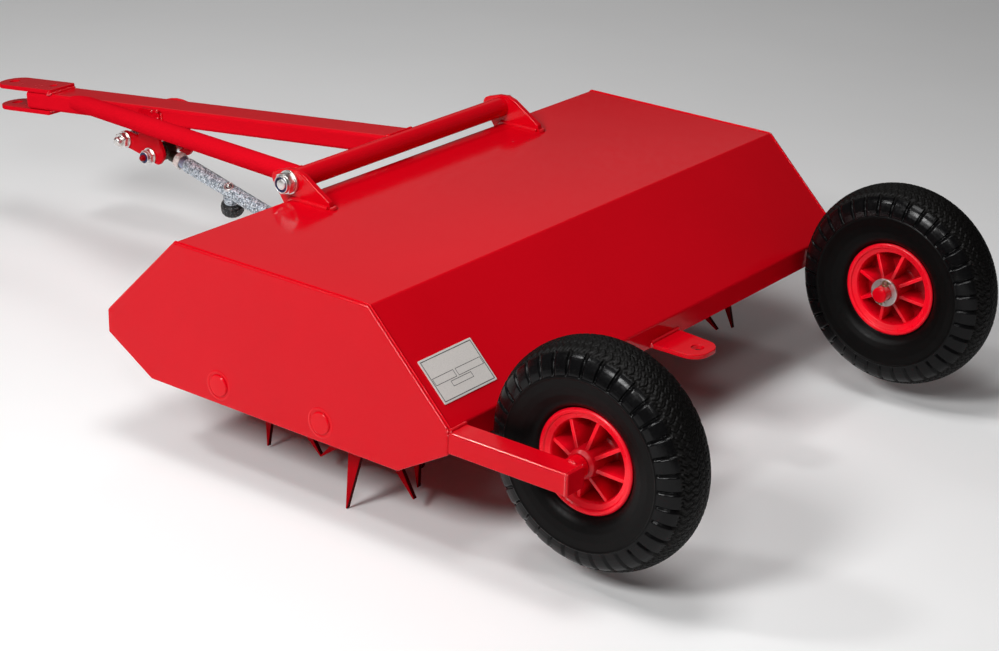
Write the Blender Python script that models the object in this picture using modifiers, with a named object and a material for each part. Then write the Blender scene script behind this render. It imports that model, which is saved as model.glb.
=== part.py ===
"""Tow-behind dethatcher: a sheet-metal hood over two tined rotors, two pneumatic
wheels on arms behind it and a hinged drawbar with an adjustable strut.

Design dimensions are millimetres in the hood frame: x = 0 and y = 0 in the middle
of the hood, z = 0 at the lower edge of its end plates, -Y towards the hitch and
+Z up.  The empty "machine" carries that frame, so that the finished part has its
origin on the floor, in the middle of its bounding box.
"""
import bpy
import bmesh
from math import sin, cos, tan, pi, radians, degrees, atan2, sqrt, hypot
from mathutils import Matrix, Vector

# ------------------------------------------------------------------ driving dimensions (mm)
MM = 0.001
GAP = 0.3                      # clearance between pieces that touch
HOOD_Y = 190.05                # hood centre, measured from the middle of the whole machine
HOOD_Z = 102.485               # end plates' lower edge above the floor

HALF_W = 410.0                 # half of the hood's width
PLATE_T = 5.0                  # end plate thickness
SHEET_T = 3.0                  # bent sheet thickness
TOP_Z, TOP_Y = 180.0, 145.5    # top face
FOLD_Z, FOLD_Y = 68.5, 258.5   # lower end of the slants
BAND_Z = 41.3                  # lower edge of the front and rear bands
FOOT_Y = 188.5                 # half length of the end plates' lower edge

ROTOR_Y, ROTOR_Z = 78.0, 22.5  # rotor axes at y = -78 and y = +78
TINE_R = 125.0                 # tine tips
SHAFT_R = 15.0
TUBE_R = 22.0

WHEEL_X, WHEEL_Y, WHEEL_Z = 325.5, 396.0, 54.0
TYRE_R = 130.0
AXLE_R = 10.0
ARM_W, ARM_H, ARM_END = 30.0, 25.6, 415.5

LUG_IN, LUG_OUT = 202.0, 210.0         # drawbar lugs, inner and outer face
PIVOT = (-150.0, 201.0)                # drawbar pivot axis (y, z)
CROSS_R = 13.0                         # cross tube
BAR_W, BAR_H, BAR_WALL = 50.0, 25.0, 3.0
BAR_SLOPE = atan2(0.1165, 1.0)         # main bar falls towards the hitch
BAR_FRONT = -829.5
HITCH_Y, HITCH_R = -879.18, 25.0         # centre and radius of the hitch plates' round end

STRUT_A = (-285.0, 24.6)               # strut's rear pivot (y, z)
STRUT_TILT = radians(13.28)
EYE = (-575.0, 96.8)                   # strut's front pivot bolt (y, z)
BOLT1 = (-621.0, 110.0)                # spacer bolt (y, z)

# tine stars: x station, phase of the first tine from straight down in degrees, hand of the sloping edge, tines
REAR_STARS = [(361, -1.3, 1, 4), (317, 28.8, -1, 4), (320.2, -38.8, 1, 2), (272, 13.4, 1, 4)] + \
    [(x, (-2.2 if k % 3 == 0 else (-31.0 + 14.0 * (k % 2) if x > -60 else -10.0)), 1, 4)
     for k, x in enumerate(range(225, -200, -45))] + \
    [(-238, 60.8, 1, 4), (-275, -8.0, 1, 4), (-315, -2.2, 1, 4), (-360, 28.0, 1, 4)]
FRONT_STARS = [(302, -11.4, -1, 4), (312, 34.3, -1, 4)] + \
    [(x, (2.2 if k % 4 == 0 else 38.0 - 16.0 * (k % 3)), 1, 4) for k, x in enumerate(range(248, -350, -45))]

# ------------------------------------------------------------------ scene set-up
for o in list(bpy.data.objects):
    bpy.data.objects.remove(o, do_unlink=True)
for c in list(bpy.data.collections):
    bpy.data.collections.remove(c)
PARTS = bpy.data.collections.new("tow_dethatcher")
CUTS = bpy.data.collections.new("cutters")
bpy.context.scene.collection.children.link(PARTS)
bpy.context.scene.collection.children.link(CUTS)


def material(name, color, rough, metal=0.0):
    m = bpy.data.materials.new(name)
    m.use_nodes = True
    b = m.node_tree.nodes["Principled BSDF"]
    b.inputs["Base Color"].default_value = (*color, 1.0)
    b.inputs["Roughness"].default_value = rough
    b.inputs["Metallic"].default_value = metal
    m.diffuse_color = (*color, 1.0)
    return m


LOOKS = {
    "red": ((0.62, 0.008, 0.018), 0.22, 0.0),
    "rim": ((0.80, 0.012, 0.020), 0.35, 0.0),
    "rubber": ((0.012, 0.012, 0.012), 0.65, 0.0),
    "zinc": ((0.62, 0.60, 0.56), 0.32, 1.0),
    "galv": ((0.52, 0.55, 0.57), 0.45, 1.0),
    "steel": ((0.35, 0.35, 0.36), 0.40, 1.0),
    "alu": ((0.58, 0.58, 0.56), 0.42, 1.0),
    "black": ((0.015, 0.015, 0.016), 0.5, 0.0),
}

# frames: columns are the local axes in hood axes
I3 = Matrix.Identity(3)
AX = Matrix(((0, 0, 1), (0, 1, 0), (-1, 0, 0)))        # local z along +x
AXM = Matrix(((0, 0, -1), (0, 1, 0), (1, 0, 0)))       # local z along -x
SIDE = Matrix(((0, 0, 1), (1, 0, 0), (0, 1, 0)))       # outline (y, z), thickness along x
_t = BAR_SLOPE
BARM = Matrix(((1, 0, 0), (0, sin(_t), cos(_t)), (0, -cos(_t), sin(_t))))   # local z up the bar, local y below it
BARP = Matrix(((1, 0, 0), (0, cos(_t), -sin(_t)), (0, sin(_t), cos(_t))))   # local y up the bar, local z normal
_s = STRUT_TILT
STRUTM = Matrix(((1, 0, 0), (0, sin(_s), -cos(_s)), (0, cos(_s), sin(_s))))  # local z along the strut, to the front
PIN_ROLL = radians(-19.0)                                                    # index pin hangs a little to one side
_px, _pn = sin(PIN_ROLL), -cos(PIN_ROLL)
_d = Vector((0, -cos(_s), sin(_s)))
_n = Vector((0, sin(_s), cos(_s)))
PIN_DIR = Vector((_px, 0, 0)) + _n * _pn
_pu = PIN_DIR.cross(_d)
PINM = Matrix(((_d.x, -_pu.x, PIN_DIR.x), (_d.y, -_pu.y, PIN_DIR.y), (_d.z, -_pu.z, PIN_DIR.z)))
if PINM.determinant() < 0:
    PINM = Matrix(((_d.x, _pu.x, PIN_DIR.x), (_d.y, _pu.y, PIN_DIR.y), (_d.z, _pu.z, PIN_DIR.z)))


def mat4(rot, pos):
    m = rot.to_4x4()
    m.translation = Vector(pos) * MM
    return m


def empty(name, parent, pos, base=(0, 0, 0)):
    e = bpy.data.objects.new(name, None)
    PARTS.objects.link(e)
    e.parent = parent
    e.location = (Vector(pos) - Vector(base)) * MM
    return e


MACHINE = empty("machine", None, (0, HOOD_Y, HOOD_Z))
PIVOT3 = (0, *PIVOT)
A3 = (0, *STRUT_A)
DRAWBAR = empty("drawbar_pivot", MACHINE, PIVOT3)
STRUT = empty("strut_pivot", MACHINE, A3)
FRONT = empty("front_rotor_axis", MACHINE, (0, -ROTOR_Y, ROTOR_Z))
REAR = empty("rear_rotor_axis", MACHINE, (0, ROTOR_Y, ROTOR_Z))
WHEEL = {+1: empty("left_wheel_axis", MACHINE, (WHEEL_X, WHEEL_Y, WHEEL_Z)),
         -1: empty("right_wheel_axis", MACHINE, (-WHEEL_X, WHEEL_Y, WHEEL_Z))}
BASE = {MACHINE: (0, 0, 0), DRAWBAR: PIVOT3, STRUT: A3, FRONT: (0, -ROTOR_Y, ROTOR_Z),
        REAR: (0, ROTOR_Y, ROTOR_Z), WHEEL[1]: (WHEEL_X, WHEEL_Y, WHEEL_Z),
        WHEEL[-1]: (-WHEEL_X, WHEEL_Y, WHEEL_Z)}


def place(name, data, look, rot, pos, parent, cut=False):
    """Link an object; pos is in the hood frame, in mm."""
    o = bpy.data.objects.new(name, data)
    (CUTS if cut else PARTS).objects.link(o)
    o.parent = parent
    o.matrix_basis = mat4(rot, Vector(pos) - Vector(BASE[parent]))
    if cut:
        o.hide_render = True
        o.display_type = 'WIRE'
    elif look:
        data.materials.clear()
        data.materials.append(material(name + "_mat", *LOOKS[look]))
    return o


def shade(o, angle=35):
    me = o.data
    me.shade_smooth()
    me.set_sharp_from_angle(angle=radians(angle))


# ------------------------------------------------------------------ shapes
def cyl_data(name, r, h, n=16, r2=None, phase=0.0):
    """Cylinder or cone along local z, centred."""
    bm = bmesh.new()
    bmesh.ops.create_cone(bm, cap_ends=True, segments=n, radius1=r * MM,
                          radius2=(r if r2 is None else r2) * MM, depth=h * MM,
                          matrix=Matrix.Rotation(phase, 4, 'Z'))
    me = bpy.data.meshes.new(name)
    bm.to_mesh(me)
    bm.free()
    return me


def box_data(name, sx, sy, sz):
    bm = bmesh.new()
    bmesh.ops.create_cube(bm, size=1.0, matrix=Matrix.Diagonal((sx * MM, sy * MM, sz * MM, 1.0)))
    me = bpy.data.meshes.new(name)
    bm.to_mesh(me)
    bm.free()
    return me


def turned_data(name, profile, closed):
    """Profile of (radius, height); it runs down the outer side."""
    bm = bmesh.new()
    vs = [bm.verts.new((r * MM, 0, h * MM)) for r, h in profile]
    for a, b in zip(vs, vs[1:]):
        bm.edges.new((a, b))
    if closed:
        bm.edges.new((vs[-1], vs[0]))
    me = bpy.data.meshes.new(name)
    bm.to_mesh(me)
    bm.free()
    return me


def turned(name, profile, steps, look, rot, pos, parent, closed=False, cut=False):
    o = place(name, turned_data(name, profile, closed), look, rot, pos, parent, cut)
    s = o.modifiers.new("turn", 'SCREW')
    s.axis = 'Z'
    s.steps = steps
    s.render_steps = steps
    s.use_merge_vertices = True
    s.merge_threshold = 0.00001
    s.use_smooth_shade = False
    return o


def outline_data(name, loops, thick):
    cu = bpy.data.curves.new(name, 'CURVE')
    cu.dimensions = '2D'
    cu.fill_mode = 'BOTH'
    cu.extrude = thick * MM / 2
    for pts in loops:
        sp = cu.splines.new('POLY')
        sp.points.add(len(pts) - 1)
        for p, (u, v) in zip(sp.points, pts):
            p.co = (u * MM, v * MM, 0, 1)
        sp.use_cyclic_u = True
    return cu


def plate(name, loops, thick, look, rot, pos, parent, cut=False):
    return place(name, outline_data(name, loops, thick), look, rot, pos, parent, cut)


def solid(o):
    """Make the evaluated object a plain mesh object with its caps welded."""
    bpy.context.view_layer.update()
    dg = bpy.context.evaluated_depsgraph_get()
    me = bpy.data.meshes.new_from_object(o.evaluated_get(dg))
    bm = bmesh.new()
    bm.from_mesh(me)
    bmesh.ops.remove_doubles(bm, verts=bm.verts, dist=0.000002)
    bm.to_mesh(me)
    bm.free()
    name, parent, world = o.name, o.parent, o.matrix_world.copy()
    coll = o.users_collection[0]
    hidden, disp = o.hide_render, o.display_type
    mats = [m for m in o.data.materials] if hasattr(o.data, "materials") else []
    bpy.data.objects.remove(o, do_unlink=True)
    n = bpy.data.objects.new(name, me)
    coll.objects.link(n)
    n.parent = parent
    n.matrix_world = world
    n.hide_render, n.display_type = hidden, disp
    me.materials.clear()
    for m in mats:
        me.materials.append(m)
    bpy.context.view_layer.update()
    return n


def cut(o, cutter, op='DIFFERENCE'):
    b = o.modifiers.new(op.lower(), 'BOOLEAN')
    b.operation = op
    b.solver = 'EXACT'
    b.object = cutter
    return o


def bevel(o, width, segments=1, angle=50):
    b = o.modifiers.new("bevel", 'BEVEL')
    b.width = width * MM
    b.segments = segments
    b.limit_method = 'ANGLE'
    b.angle_limit = radians(angle)
    return o


# ------------------------------------------------------------------ outlines
def circle(r, n, cx=0.0, cy=0.0, phase=0.0):
    return [(cx + r * cos(phase + 2 * pi * k / n), cy + r * sin(phase + 2 * pi * k / n)) for k in range(n)]


def hexagon(af, phase=0.0):
    return circle(af / sqrt(3), 6, phase=phase)


def rounded(points, n=3):
    """Polygon of (u, v, radius) with its corners rounded."""
    out = []
    m = len(points)
    for k, (x, y, r) in enumerate(points):
        if r <= 0:
            out.append((x, y))
            continue
        ax, ay, _ = points[k - 1]
        bx, by, _ = points[(k + 1) % m]
        u = Vector((ax - x, ay - y)).normalized()
        v = Vector((bx - x, by - y)).normalized()
        half = u.angle(v) / 2
        d = r / tan(half)
        c = Vector((x, y)) + (u + v).normalized() * (r / sin(half))
        p0, p1 = Vector((x, y)) + u * d, Vector((x, y)) + v * d
        a0 = atan2(p0.y - c.y, p0.x - c.x)
        a1 = atan2(p1.y - c.y, p1.x - c.x)
        da = (a1 - a0 + pi) % (2 * pi) - pi
        for i in range(n + 1):
            a = a0 + da * i / n
            out.append((c.x + r * cos(a), c.y + r * sin(a)))
    return out


def arc(cx, cy, r, a0, a1, n):
    return [(cx + r * cos(radians(a0 + (a1 - a0) * k / n)), cy + r * sin(radians(a0 + (a1 - a0) * k / n)))
            for k in range(n + 1)]


# ------------------------------------------------------------------ hood
def make_hood():
    profile = [(FOLD_Y, BAND_Z), (FOLD_Y, FOLD_Z), (TOP_Y, TOP_Z), (-TOP_Y, TOP_Z), (-FOLD_Y, FOLD_Z), (-FOLD_Y, BAND_Z)]
    half = HALF_W - PLATE_T - GAP
    bm = bmesh.new()
    rows = [[bm.verts.new((s * half * MM, y * MM, z * MM)) for y, z in profile] for s in (1, -1)]
    for k in range(len(profile) - 1):
        bm.faces.new((rows[1][k], rows[1][k + 1], rows[0][k + 1], rows[0][k]))
    me = bpy.data.meshes.new("hood_shell")
    bm.to_mesh(me)
    bm.free()
    hood = place("hood_shell", me, "red", I3, (0, 0, 0), MACHINE)
    b = hood.modifiers.new("folds", 'BEVEL')
    b.width = 4.0 * MM
    b.segments = 2
    b.limit_method = 'ANGLE'
    b.angle_limit = radians(20)
    s = hood.modifiers.new("sheet", 'SOLIDIFY')
    s.thickness = SHEET_T * MM
    s.offset = -1.0
    s.use_even_offset = True

    octagon = [(TOP_Y, TOP_Z), (-TOP_Y, TOP_Z), (-FOLD_Y, FOLD_Z), (-FOLD_Y, BAND_Z),
               (-FOOT_Y, 0), (FOOT_Y, 0), (FOLD_Y, BAND_Z), (FOLD_Y, FOLD_Z)]
    holes = [circle(11.6, 12, s * ROTOR_Y, ROTOR_Z) for s in (-1, 1)]
    for s, side in ((1, "left"), (-1, "right")):
        plate("end_plate_" + side, [octagon] + holes, PLATE_T, "red", SIDE,
              (s * (HALF_W - PLATE_T / 2), 0, 0), MACHINE)
        # bearing caps: a spigot through the plate and a round head outside it
        for t, where in ((-1, "front"), (1, "rear")):
            turned("bearing_cap_%s_%s" % (where, side),
                   [(0, 2.2), (12.8, 2.2), (13.5, 1.5), (13.5, GAP), (11.2, GAP), (11.2, -PLATE_T + 0.2), (0, -PLATE_T + 0.2)],
                   20, "red", AX if s > 0 else AXM, (s * HALF_W, t * ROTOR_Y, ROTOR_Z), MACHINE)
            turned("bearing_%s_%s" % (where, side),
                   [(15.8, 6.0), (21, 6.0), (22, 5.0), (22, -6.0), (15.8, -6.0)],
                   16, "steel", AX, (s * (HALF_W - PLATE_T - GAP - 6.0), t * ROTOR_Y, ROTOR_Z), MACHINE, closed=True)

    # small blank plate on the rear slant
    slant = atan2(TOP_Z - FOLD_Z, TOP_Y - FOLD_Y)
    along = Vector((0, FOLD_Y - TOP_Y, FOLD_Z - TOP_Z)).normalized()
    normal = Vector((0, -along.z, along.y))
    centre = Vector((348.0, TOP_Y, TOP_Z)) + along * 105.5 + normal * (GAP + 0.4)
    rot = Matrix(((-1, 0, 0), (0, along.y, normal.y), (0, along.z, normal.z)))
    if rot.determinant() < 0:
        rot = Matrix(((1, 0, 0), (0, along.y, normal.y), (0, along.z, normal.z)))
    place("blank_plate", box_data("blank_plate", 90, 55, 0.8), "alu", rot, centre, MACHINE)


# ------------------------------------------------------------------ drawbar lugs and their pivot bolt
def make_lugs():
    d = Vector((-(FOLD_Y - TOP_Y), FOLD_Z - TOP_Z)).normalized()      # down the front slant (y, z)
    nrm = Vector((d.y, -d.x))
    if nrm.y < 0:
        nrm = -nrm
    foot = Vector((-TOP_Y, TOP_Z)) + d * 16.7 + nrm * GAP
    knee = Vector((-TOP_Y - 1.0, TOP_Z + GAP))
    pts = [(-86, TOP_Z + GAP, 0), (-87, 188.5, 0), (-128, 214, 10), (-140, 217.5, 0), (-154, 216.5, 6), (-185.5, 207, 9),
           (foot.x, foot.y, 0), (knee.x, knee.y, 0)]
    hole = circle(8.5, 12, *PIVOT)
    for s, side in ((1, "left"), (-1, "right")):
        plate("pivot_lug_" + side, [rounded(pts), hole], LUG_OUT - LUG_IN, "red", SIDE,
              (s * (LUG_IN + LUG_OUT) / 2, 0, 0), MACHINE)
    bolt = turned("pivot_bolt", [(0, 228.0), (6.8, 228.0), (8, 226.5), (8, -212.0), (0, -212.0)], 12, "zinc", AX,
                  (0, *PIVOT), MACHINE)
    bolt = solid(bolt)
    head = place("pivot_bolt_head", cyl_data("pivot_bolt_head", 24 / sqrt(3), 10, 6), None, AX,
                 (-LUG_OUT - GAP - 5.0, *PIVOT), MACHINE, cut=True)
    cut(bolt, head, 'UNION')
    turned("pivot_washer", [(8.4, 1.5), (15, 1.5), (15, -1.5), (8.4, -1.5)], 12, "zinc", AX,
           (LUG_OUT + GAP + 1.5, *PIVOT), MACHINE, closed=True)
    plate("pivot_nut", [hexagon(24.0, 0.2), circle(8.4, 12)], 12.6, "zinc", AX, (LUG_OUT + 2 * GAP + 3.0 + 6.3, *PIVOT),
          MACHINE)


# ------------------------------------------------------------------ wheels, arms, axles
def make_wheels():
    arm_len = ARM_END - FOLD_Y - GAP
    arm_y = FOLD_Y + GAP + arm_len / 2
    tyre_out = [(51.2, 14), (52.2, 22.4), (61, 25.2), (66, 33), (84, 39), (102, 37), (119, 29), (127.5, 14), (TYRE_R, 0)]
    tyre_in = [(120, 0), (112, 24), (80, 30), (60, 14)]
    mirror = lambda pts: [(r, -h) for r, h in reversed(pts)]
    tyre = tyre_out + mirror(tyre_out[:-1]) + mirror(tyre_in[1:]) + tyre_in
    rim_top = [(10.8, 37.5), (17.5, 37.5), (18.5, 4), (46, 4), (48.5, 26), (60, 28.5), (60, 25.5), (51.5, 23), (50.5, 12)]
    rim = rim_top + mirror(rim_top)
    rib = [(15.5, 31), (47.5, 21), (47.5, -21), (15.5, -31)]

    tyre_obj = solid(turned("tyre_left", tyre, 20, "rubber", AX, (WHEEL_X, WHEEL_Y, WHEEL_Z), WHEEL[1], closed=True))
    shade(tyre_obj, 40)
    other = place("tyre_right", tyre_obj.data, None, AX, (-WHEEL_X, WHEEL_Y, WHEEL_Z), WHEEL[-1])
    rim_obj = solid(turned("rim_left", rim, 20, "rim", AX, (WHEEL_X, WHEEL_Y, WHEEL_Z), WHEEL[1], closed=True))
    for k in range(8):
        turn = Matrix.Rotation(radians(31.0) + k * pi / 4, 3, 'Z')
        upright = AX @ turn @ Matrix(((1, 0, 0), (0, 0, -1), (0, 1, 0)))
        r = plate("rib_%d" % k, [rib], 3.6, None, upright, (WHEEL_X, WHEEL_Y, WHEEL_Z), WHEEL[1], cut=True)
        cut(rim_obj, solid(r), 'UNION')
    bpy.context.view_layer.update()
    rim_obj = solid(rim_obj)
    place("rim_right", rim_obj.data, None, AX, (-WHEEL_X, WHEEL_Y, WHEEL_Z), WHEEL[-1])

    for s, side in ((1, "left"), (-1, "right")):
        arm = place("wheel_arm_" + side, box_data("wheel_arm_" + side, ARM_W, arm_len, ARM_H), "red", I3,
                    (s * (HALF_W - ARM_W / 2), arm_y, WHEEL_Z), MACHINE)
        bevel(arm, 2.0, 1, 60)
        hollow = place("arm_hollow_" + side, box_data("arm_hollow_" + side, ARM_W - 6, arm_len, ARM_H - 6), None, I3,
                       (s * (HALF_W - ARM_W / 2), arm_y - 3.0, WHEEL_Z), MACHINE, cut=True)
        cut(arm, hollow)
        # stub axle: collar at the arm, plain pin through the hub, cross hole for the split pin
        out = HALF_W - ARM_W - GAP - WHEEL_X       # local height of the arm's inner face
        axle = turned("stub_axle_" + side,
                      [(0, out), (13, out), (13, 38.2), (AXLE_R, 38.2), (AXLE_R, -52.5), (8.4, -54.0), (0, -54.0)], 16,
                      "red", AX if s > 0 else AXM, (s * WHEEL_X, WHEEL_Y, WHEEL_Z), MACHINE)
        axle = solid(axle)
        pin_hole = place("pin_hole_" + side, cyl_data("pin_hole_" + side, 2.1, 30, 8), None, I3,
                         (s * (WHEEL_X - 45.4), WHEEL_Y, WHEEL_Z), MACHINE, cut=True)
        cut(axle, pin_hole)
        turned("hub_washer_" + side, [(10.5, 1.5), (18, 1.5), (18, -1.5), (10.5, -1.5)], 20, "zinc", AX,
               (s * (WHEEL_X - 37.5 - GAP - 1.5), WHEEL_Y, WHEEL_Z), MACHINE, closed=True)
        path = [(0, 0, -14.5), (0, 0, 15.6)] + \
            [(0, 3.6 - 3.6 * cos(radians(a)), 15.6 + 3.6 * sin(radians(a))) for a in range(45, 271, 45)]
        cu = bpy.data.curves.new("split_pin_" + side, 'CURVE')
        cu.dimensions = '3D'
        cu.bevel_depth = 1.3 * MM
        cu.bevel_resolution = 1
        cu.use_fill_caps = True
        sp = cu.splines.new('POLY')
        sp.points.add(len(path) - 1)
        for p, q in zip(sp.points, path):
            p.co = (q[0] * MM, q[1] * MM, q[2] * MM, 1)
        place("split_pin_" + side, cu, "zinc", I3, (s * (WHEEL_X - 45.4), WHEEL_Y, WHEEL_Z), MACHINE)

    lug = rounded([(-30, FOLD_Y + GAP, 0), (28.5, FOLD_Y + GAP, 0), (28.5, 326, 22), (-22, 326, 22)], 5)
    plate("tow_lug", [lug, circle(7.5, 12, 1.4, 306.8)], 6.0, "red", I3, (0, 0, 44.0), MACHINE)


# ------------------------------------------------------------------ rotors and chain drive
def star(phase, hand, tines):
    """Outline (y, z) of a star of tapered tines, each with one radial and one sloping edge."""
    pts = []
    for k in range(4):
        a = radians(phase) + pi * k / 2
        edges = ((29.0, 2.3), (TINE_R - 0.4, -0.8), (TINE_R, 0.0), (TINE_R - 0.4, 0.8), (29.0, 26.0))
        if tines == 2 and k % 2 == 1:
            edges = ((29.0, 0.0), (29.0, 12.0))                  # only the hub's edge between the two tines
        for r, t in (edges if hand > 0 else [(r, -t) for r, t in reversed(edges)]):
            # r outwards, t towards the rear, a measured from straight down towards the rear
            y = r * sin(a) + t * cos(a)
            z = -r * cos(a) + t * sin(a)
            pts.append((y, z))
    return pts


def make_rotor(name, axis, stars, bounds, y):
    turned(name + "_shaft", [(0, 404.4), (SHAFT_R, 404.4), (SHAFT_R, -404.4), (0, -404.4)], 12, "steel", AX,
           (0, y, ROTOR_Z), axis)
    for k, (lo, hi) in enumerate(bounds):
        seg = turned("%s_tines_%d" % (name, k + 1),
                     [(15.4, (hi - lo) / 2), (TUBE_R, (hi - lo) / 2), (TUBE_R, -(hi - lo) / 2), (15.4, -(hi - lo) / 2)],
                     12, "red", AX, ((lo + hi) / 2, y, ROTOR_Z), axis, closed=True)
        seg = solid(seg)
        for x, phase, hand, tines in stars:
            if lo < x < hi:
                s = plate("%s_star_%d" % (name, x), [star(phase, hand, tines), circle(20.3, 8)], 5.0, None, SIDE,
                          (x, y, ROTOR_Z), axis, cut=True)
                cut(seg, solid(s), 'UNION')


def sprocket(name, axis, teeth, tip, root, y):
    pts = []
    for k in range(teeth):
        a = 2 * pi * k / teeth
        pts.append((root * cos(a), root * sin(a)))
        pts.append((tip * cos(a + pi / teeth), tip * sin(a + pi / teeth)))
    plate(name, [pts, circle(15.4, 12)], 5.0, "steel", AX, (-381.0, y, ROTOR_Z), axis)


def make_rotors():
    make_rotor("rotor_rear", REAR, REAR_STARS, [(22.8, 371), (-371, 22.2)], ROTOR_Y)
    make_rotor("rotor_front", FRONT, FRONT_STARS, [(0.3, 371), (-371, -0.3)], -ROTOR_Y)
    sprocket("sprocket_rear", REAR, 18, 29.8, 25.0, ROTOR_Y)
    sprocket("sprocket_front", FRONT, 12, 20.8, 17.2, -ROTOR_Y)

    def loop(rr, rf):
        lean = degrees(atan2(rr - rf, 2 * ROTOR_Y))
        return arc(ROTOR_Y, ROTOR_Z, rr, -90 + lean, 90 - lean, 10) + arc(-ROTOR_Y, ROTOR_Z, rf, 90 - lean, 270 + lean, 10)
    plate("drive_chain", [loop(36.0, 27.0), loop(30.8, 21.8)], 7.0, "steel", SIDE, (-381.0, 0, 0), MACHINE)


# ------------------------------------------------------------------ drawbar
def bar_point(y, off=0.0):
    """Point on the main bar's centre line, moved off along its normal."""
    z = 113.3 + tan(BAR_SLOPE) * (y + 900.0)
    return (0, y - off * sin(BAR_SLOPE), z + off * cos(BAR_SLOPE))


def make_drawbar():
    half = LUG_IN - GAP
    turned("cross_tube", [(8.7, half), (CROSS_R, half), (CROSS_R, -half), (8.7, -half)], 16, "red", AX, PIVOT3, DRAWBAR,
           closed=True)
    saddle = place("saddle_cut", cyl_data("saddle_cut", (CROSS_R + GAP) / cos(pi / 24), 2 * half + 40, 24), None, AX,
                   PIVOT3, DRAWBAR, cut=True)

    # main bar: rectangular tube with rounded corners, saddled on the cross tube
    rear = -158.0
    length = (rear - BAR_FRONT) / cos(BAR_SLOPE)
    mid = bar_point((rear + BAR_FRONT) / 2)
    rect = lambda w, h, r, n: rounded([(-w / 2, -h / 2, r), (w / 2, -h / 2, r), (w / 2, h / 2, r), (-w / 2, h / 2, r)], n)
    bar = solid(plate("main_bar", [rect(BAR_W, BAR_H, 5.0, 3), rect(BAR_W - 6, BAR_H - 6, 2.0, 2)], length, "red", BARM,
                      mid, DRAWBAR))
    cut(bar, saddle)

    # side brace: round tube from the bar's left side to the cross tube's left end
    a, b = Vector((24.0, -709.0, 139.5)), Vector((187.0, *PIVOT))
    d = (b - a).normalized()
    start = a - d * 75.0
    L = (b - start).length
    x_ax = d.cross(Vector((0, 0, 1))).normalized()
    y_ax = d.cross(x_ax)
    rot = Matrix(((x_ax.x, y_ax.x, d.x), (x_ax.y, y_ax.y, d.y), (x_ax.z, y_ax.z, d.z)))
    brace = solid(turned("side_brace", [(10.0, L / 2), (12.6, L / 2), (12.6, -L / 2), (10.0, -L / 2)], 16, "red", rot,
                         (start + b) / 2, DRAWBAR, closed=True))
    side = place("side_cut", box_data("side_cut", 80, 320, 160), None, I3, (BAR_W / 2 + GAP - 40, -720, 130), DRAWBAR, cut=True)
    tip = place("tip_cut", box_data("tip_cut", 80, 40, 160), None, I3, (40, -738 - 20, 130), DRAWBAR, cut=True)
    cut(brace, side)
    cut(brace, tip)
    cut(brace, saddle)

    # hitch plates above and below the bar's front end
    dy = lambda y: (y - HITCH_Y) / cos(BAR_SLOPE)
    for tag, off, back, corner in (("upper", 1, -781.0, 4.0), ("lower", -1, -788.0, 2.0)):
        w = HITCH_R
        pts = rounded([(w, 0.0, 0), (w, dy(back), corner), (-w, dy(back), corner), (-w, 0.0, 0)], 3) + \
            arc(0, 0, HITCH_R, 180, 360, 12)[1:-1]
        holes = [circle(7.5, 12, 0, dy(-883.0))]
        if off > 0:
            holes.append(circle(5.5, 12, 0, dy(-800)))
        plate("hitch_plate_" + tag, [pts] + holes, 6.0, "red", BARP, bar_point(HITCH_Y, off * (BAR_H / 2 + GAP + 3.0)),
              DRAWBAR)

    # strut bracket: two cheeks on the bar's sides, a spacer bolt and the strut bolt
    cheek = rounded([(-555, 163.5, 7), (-555, 121, 0), (-547, 100, 10), (-560, 85.3, 5), (-595, 92.5, 0), (-619, 96, 10),
                     (-638, 101, 8), (-636, 122, 10), (-606, 136, 0), (-601, 160.5, 7)], 2)
    holes = [circle(6.35, 12, *BOLT1), circle(6.35, 12, *EYE)]
    for s, side in ((1, "left"), (-1, "right")):
        plate("strut_bracket_" + side, [cheek] + holes, 5.7, "red", SIDE, (s * (BAR_W / 2 + GAP + 2.85), 0, 0), DRAWBAR)
    face = BAR_W / 2 + GAP + 5.7                       # outer face of the cheeks
    inner = BAR_W / 2
    turned("spacer_sleeve", [(6.4, inner), (9, inner), (9, -inner), (6.4, -inner)], 12, "galv", AX, (0, *BOLT1), DRAWBAR,
           closed=True)
    for tag, at, end in (("spacer", BOLT1, 56.0), ("strut", EYE, 50.0)):
        bolt = solid(turned(tag + "_bolt", [(0, end), (3.0, end - 0.8), (6, end - 4.0), (6, -face - 2), (0, -face - 2)], 12,
                            "zinc", AX, (0, *at), DRAWBAR))
        head = place(tag + "_bolt_head", cyl_data(tag + "_bolt_head", 19 / sqrt(3), 7.5, 6), None, AX,
                     (-face - GAP - 3.75, *at), DRAWBAR, cut=True)
        cut(bolt, head, 'UNION')
        nut = solid(plate(tag + "_nut", [hexagon(19.0, 0.35), circle(6.35, 12)], 10.0, "zinc", AX,
                          (face + GAP + 7.0, *at), DRAWBAR))
        flange = turned(tag + "_nut_flange", [(6.35, 1.25), (11.5, 1.25), (11.5, -1.25), (6.35, -1.25)], 12, None, AX,
                        (face + GAP + 1.25, *at), DRAWBAR, closed=True, cut=True)
        cut(nut, solid(flange), 'UNION')


# ------------------------------------------------------------------ adjustable strut
def on_strut(s, n=0.0, x=0.0):
    return (x, STRUT_A[0] - s * cos(STRUT_TILT) + n * sin(STRUT_TILT), STRUT_A[1] + s * sin(STRUT_TILT) + n * cos(STRUT_TILT))


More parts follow.
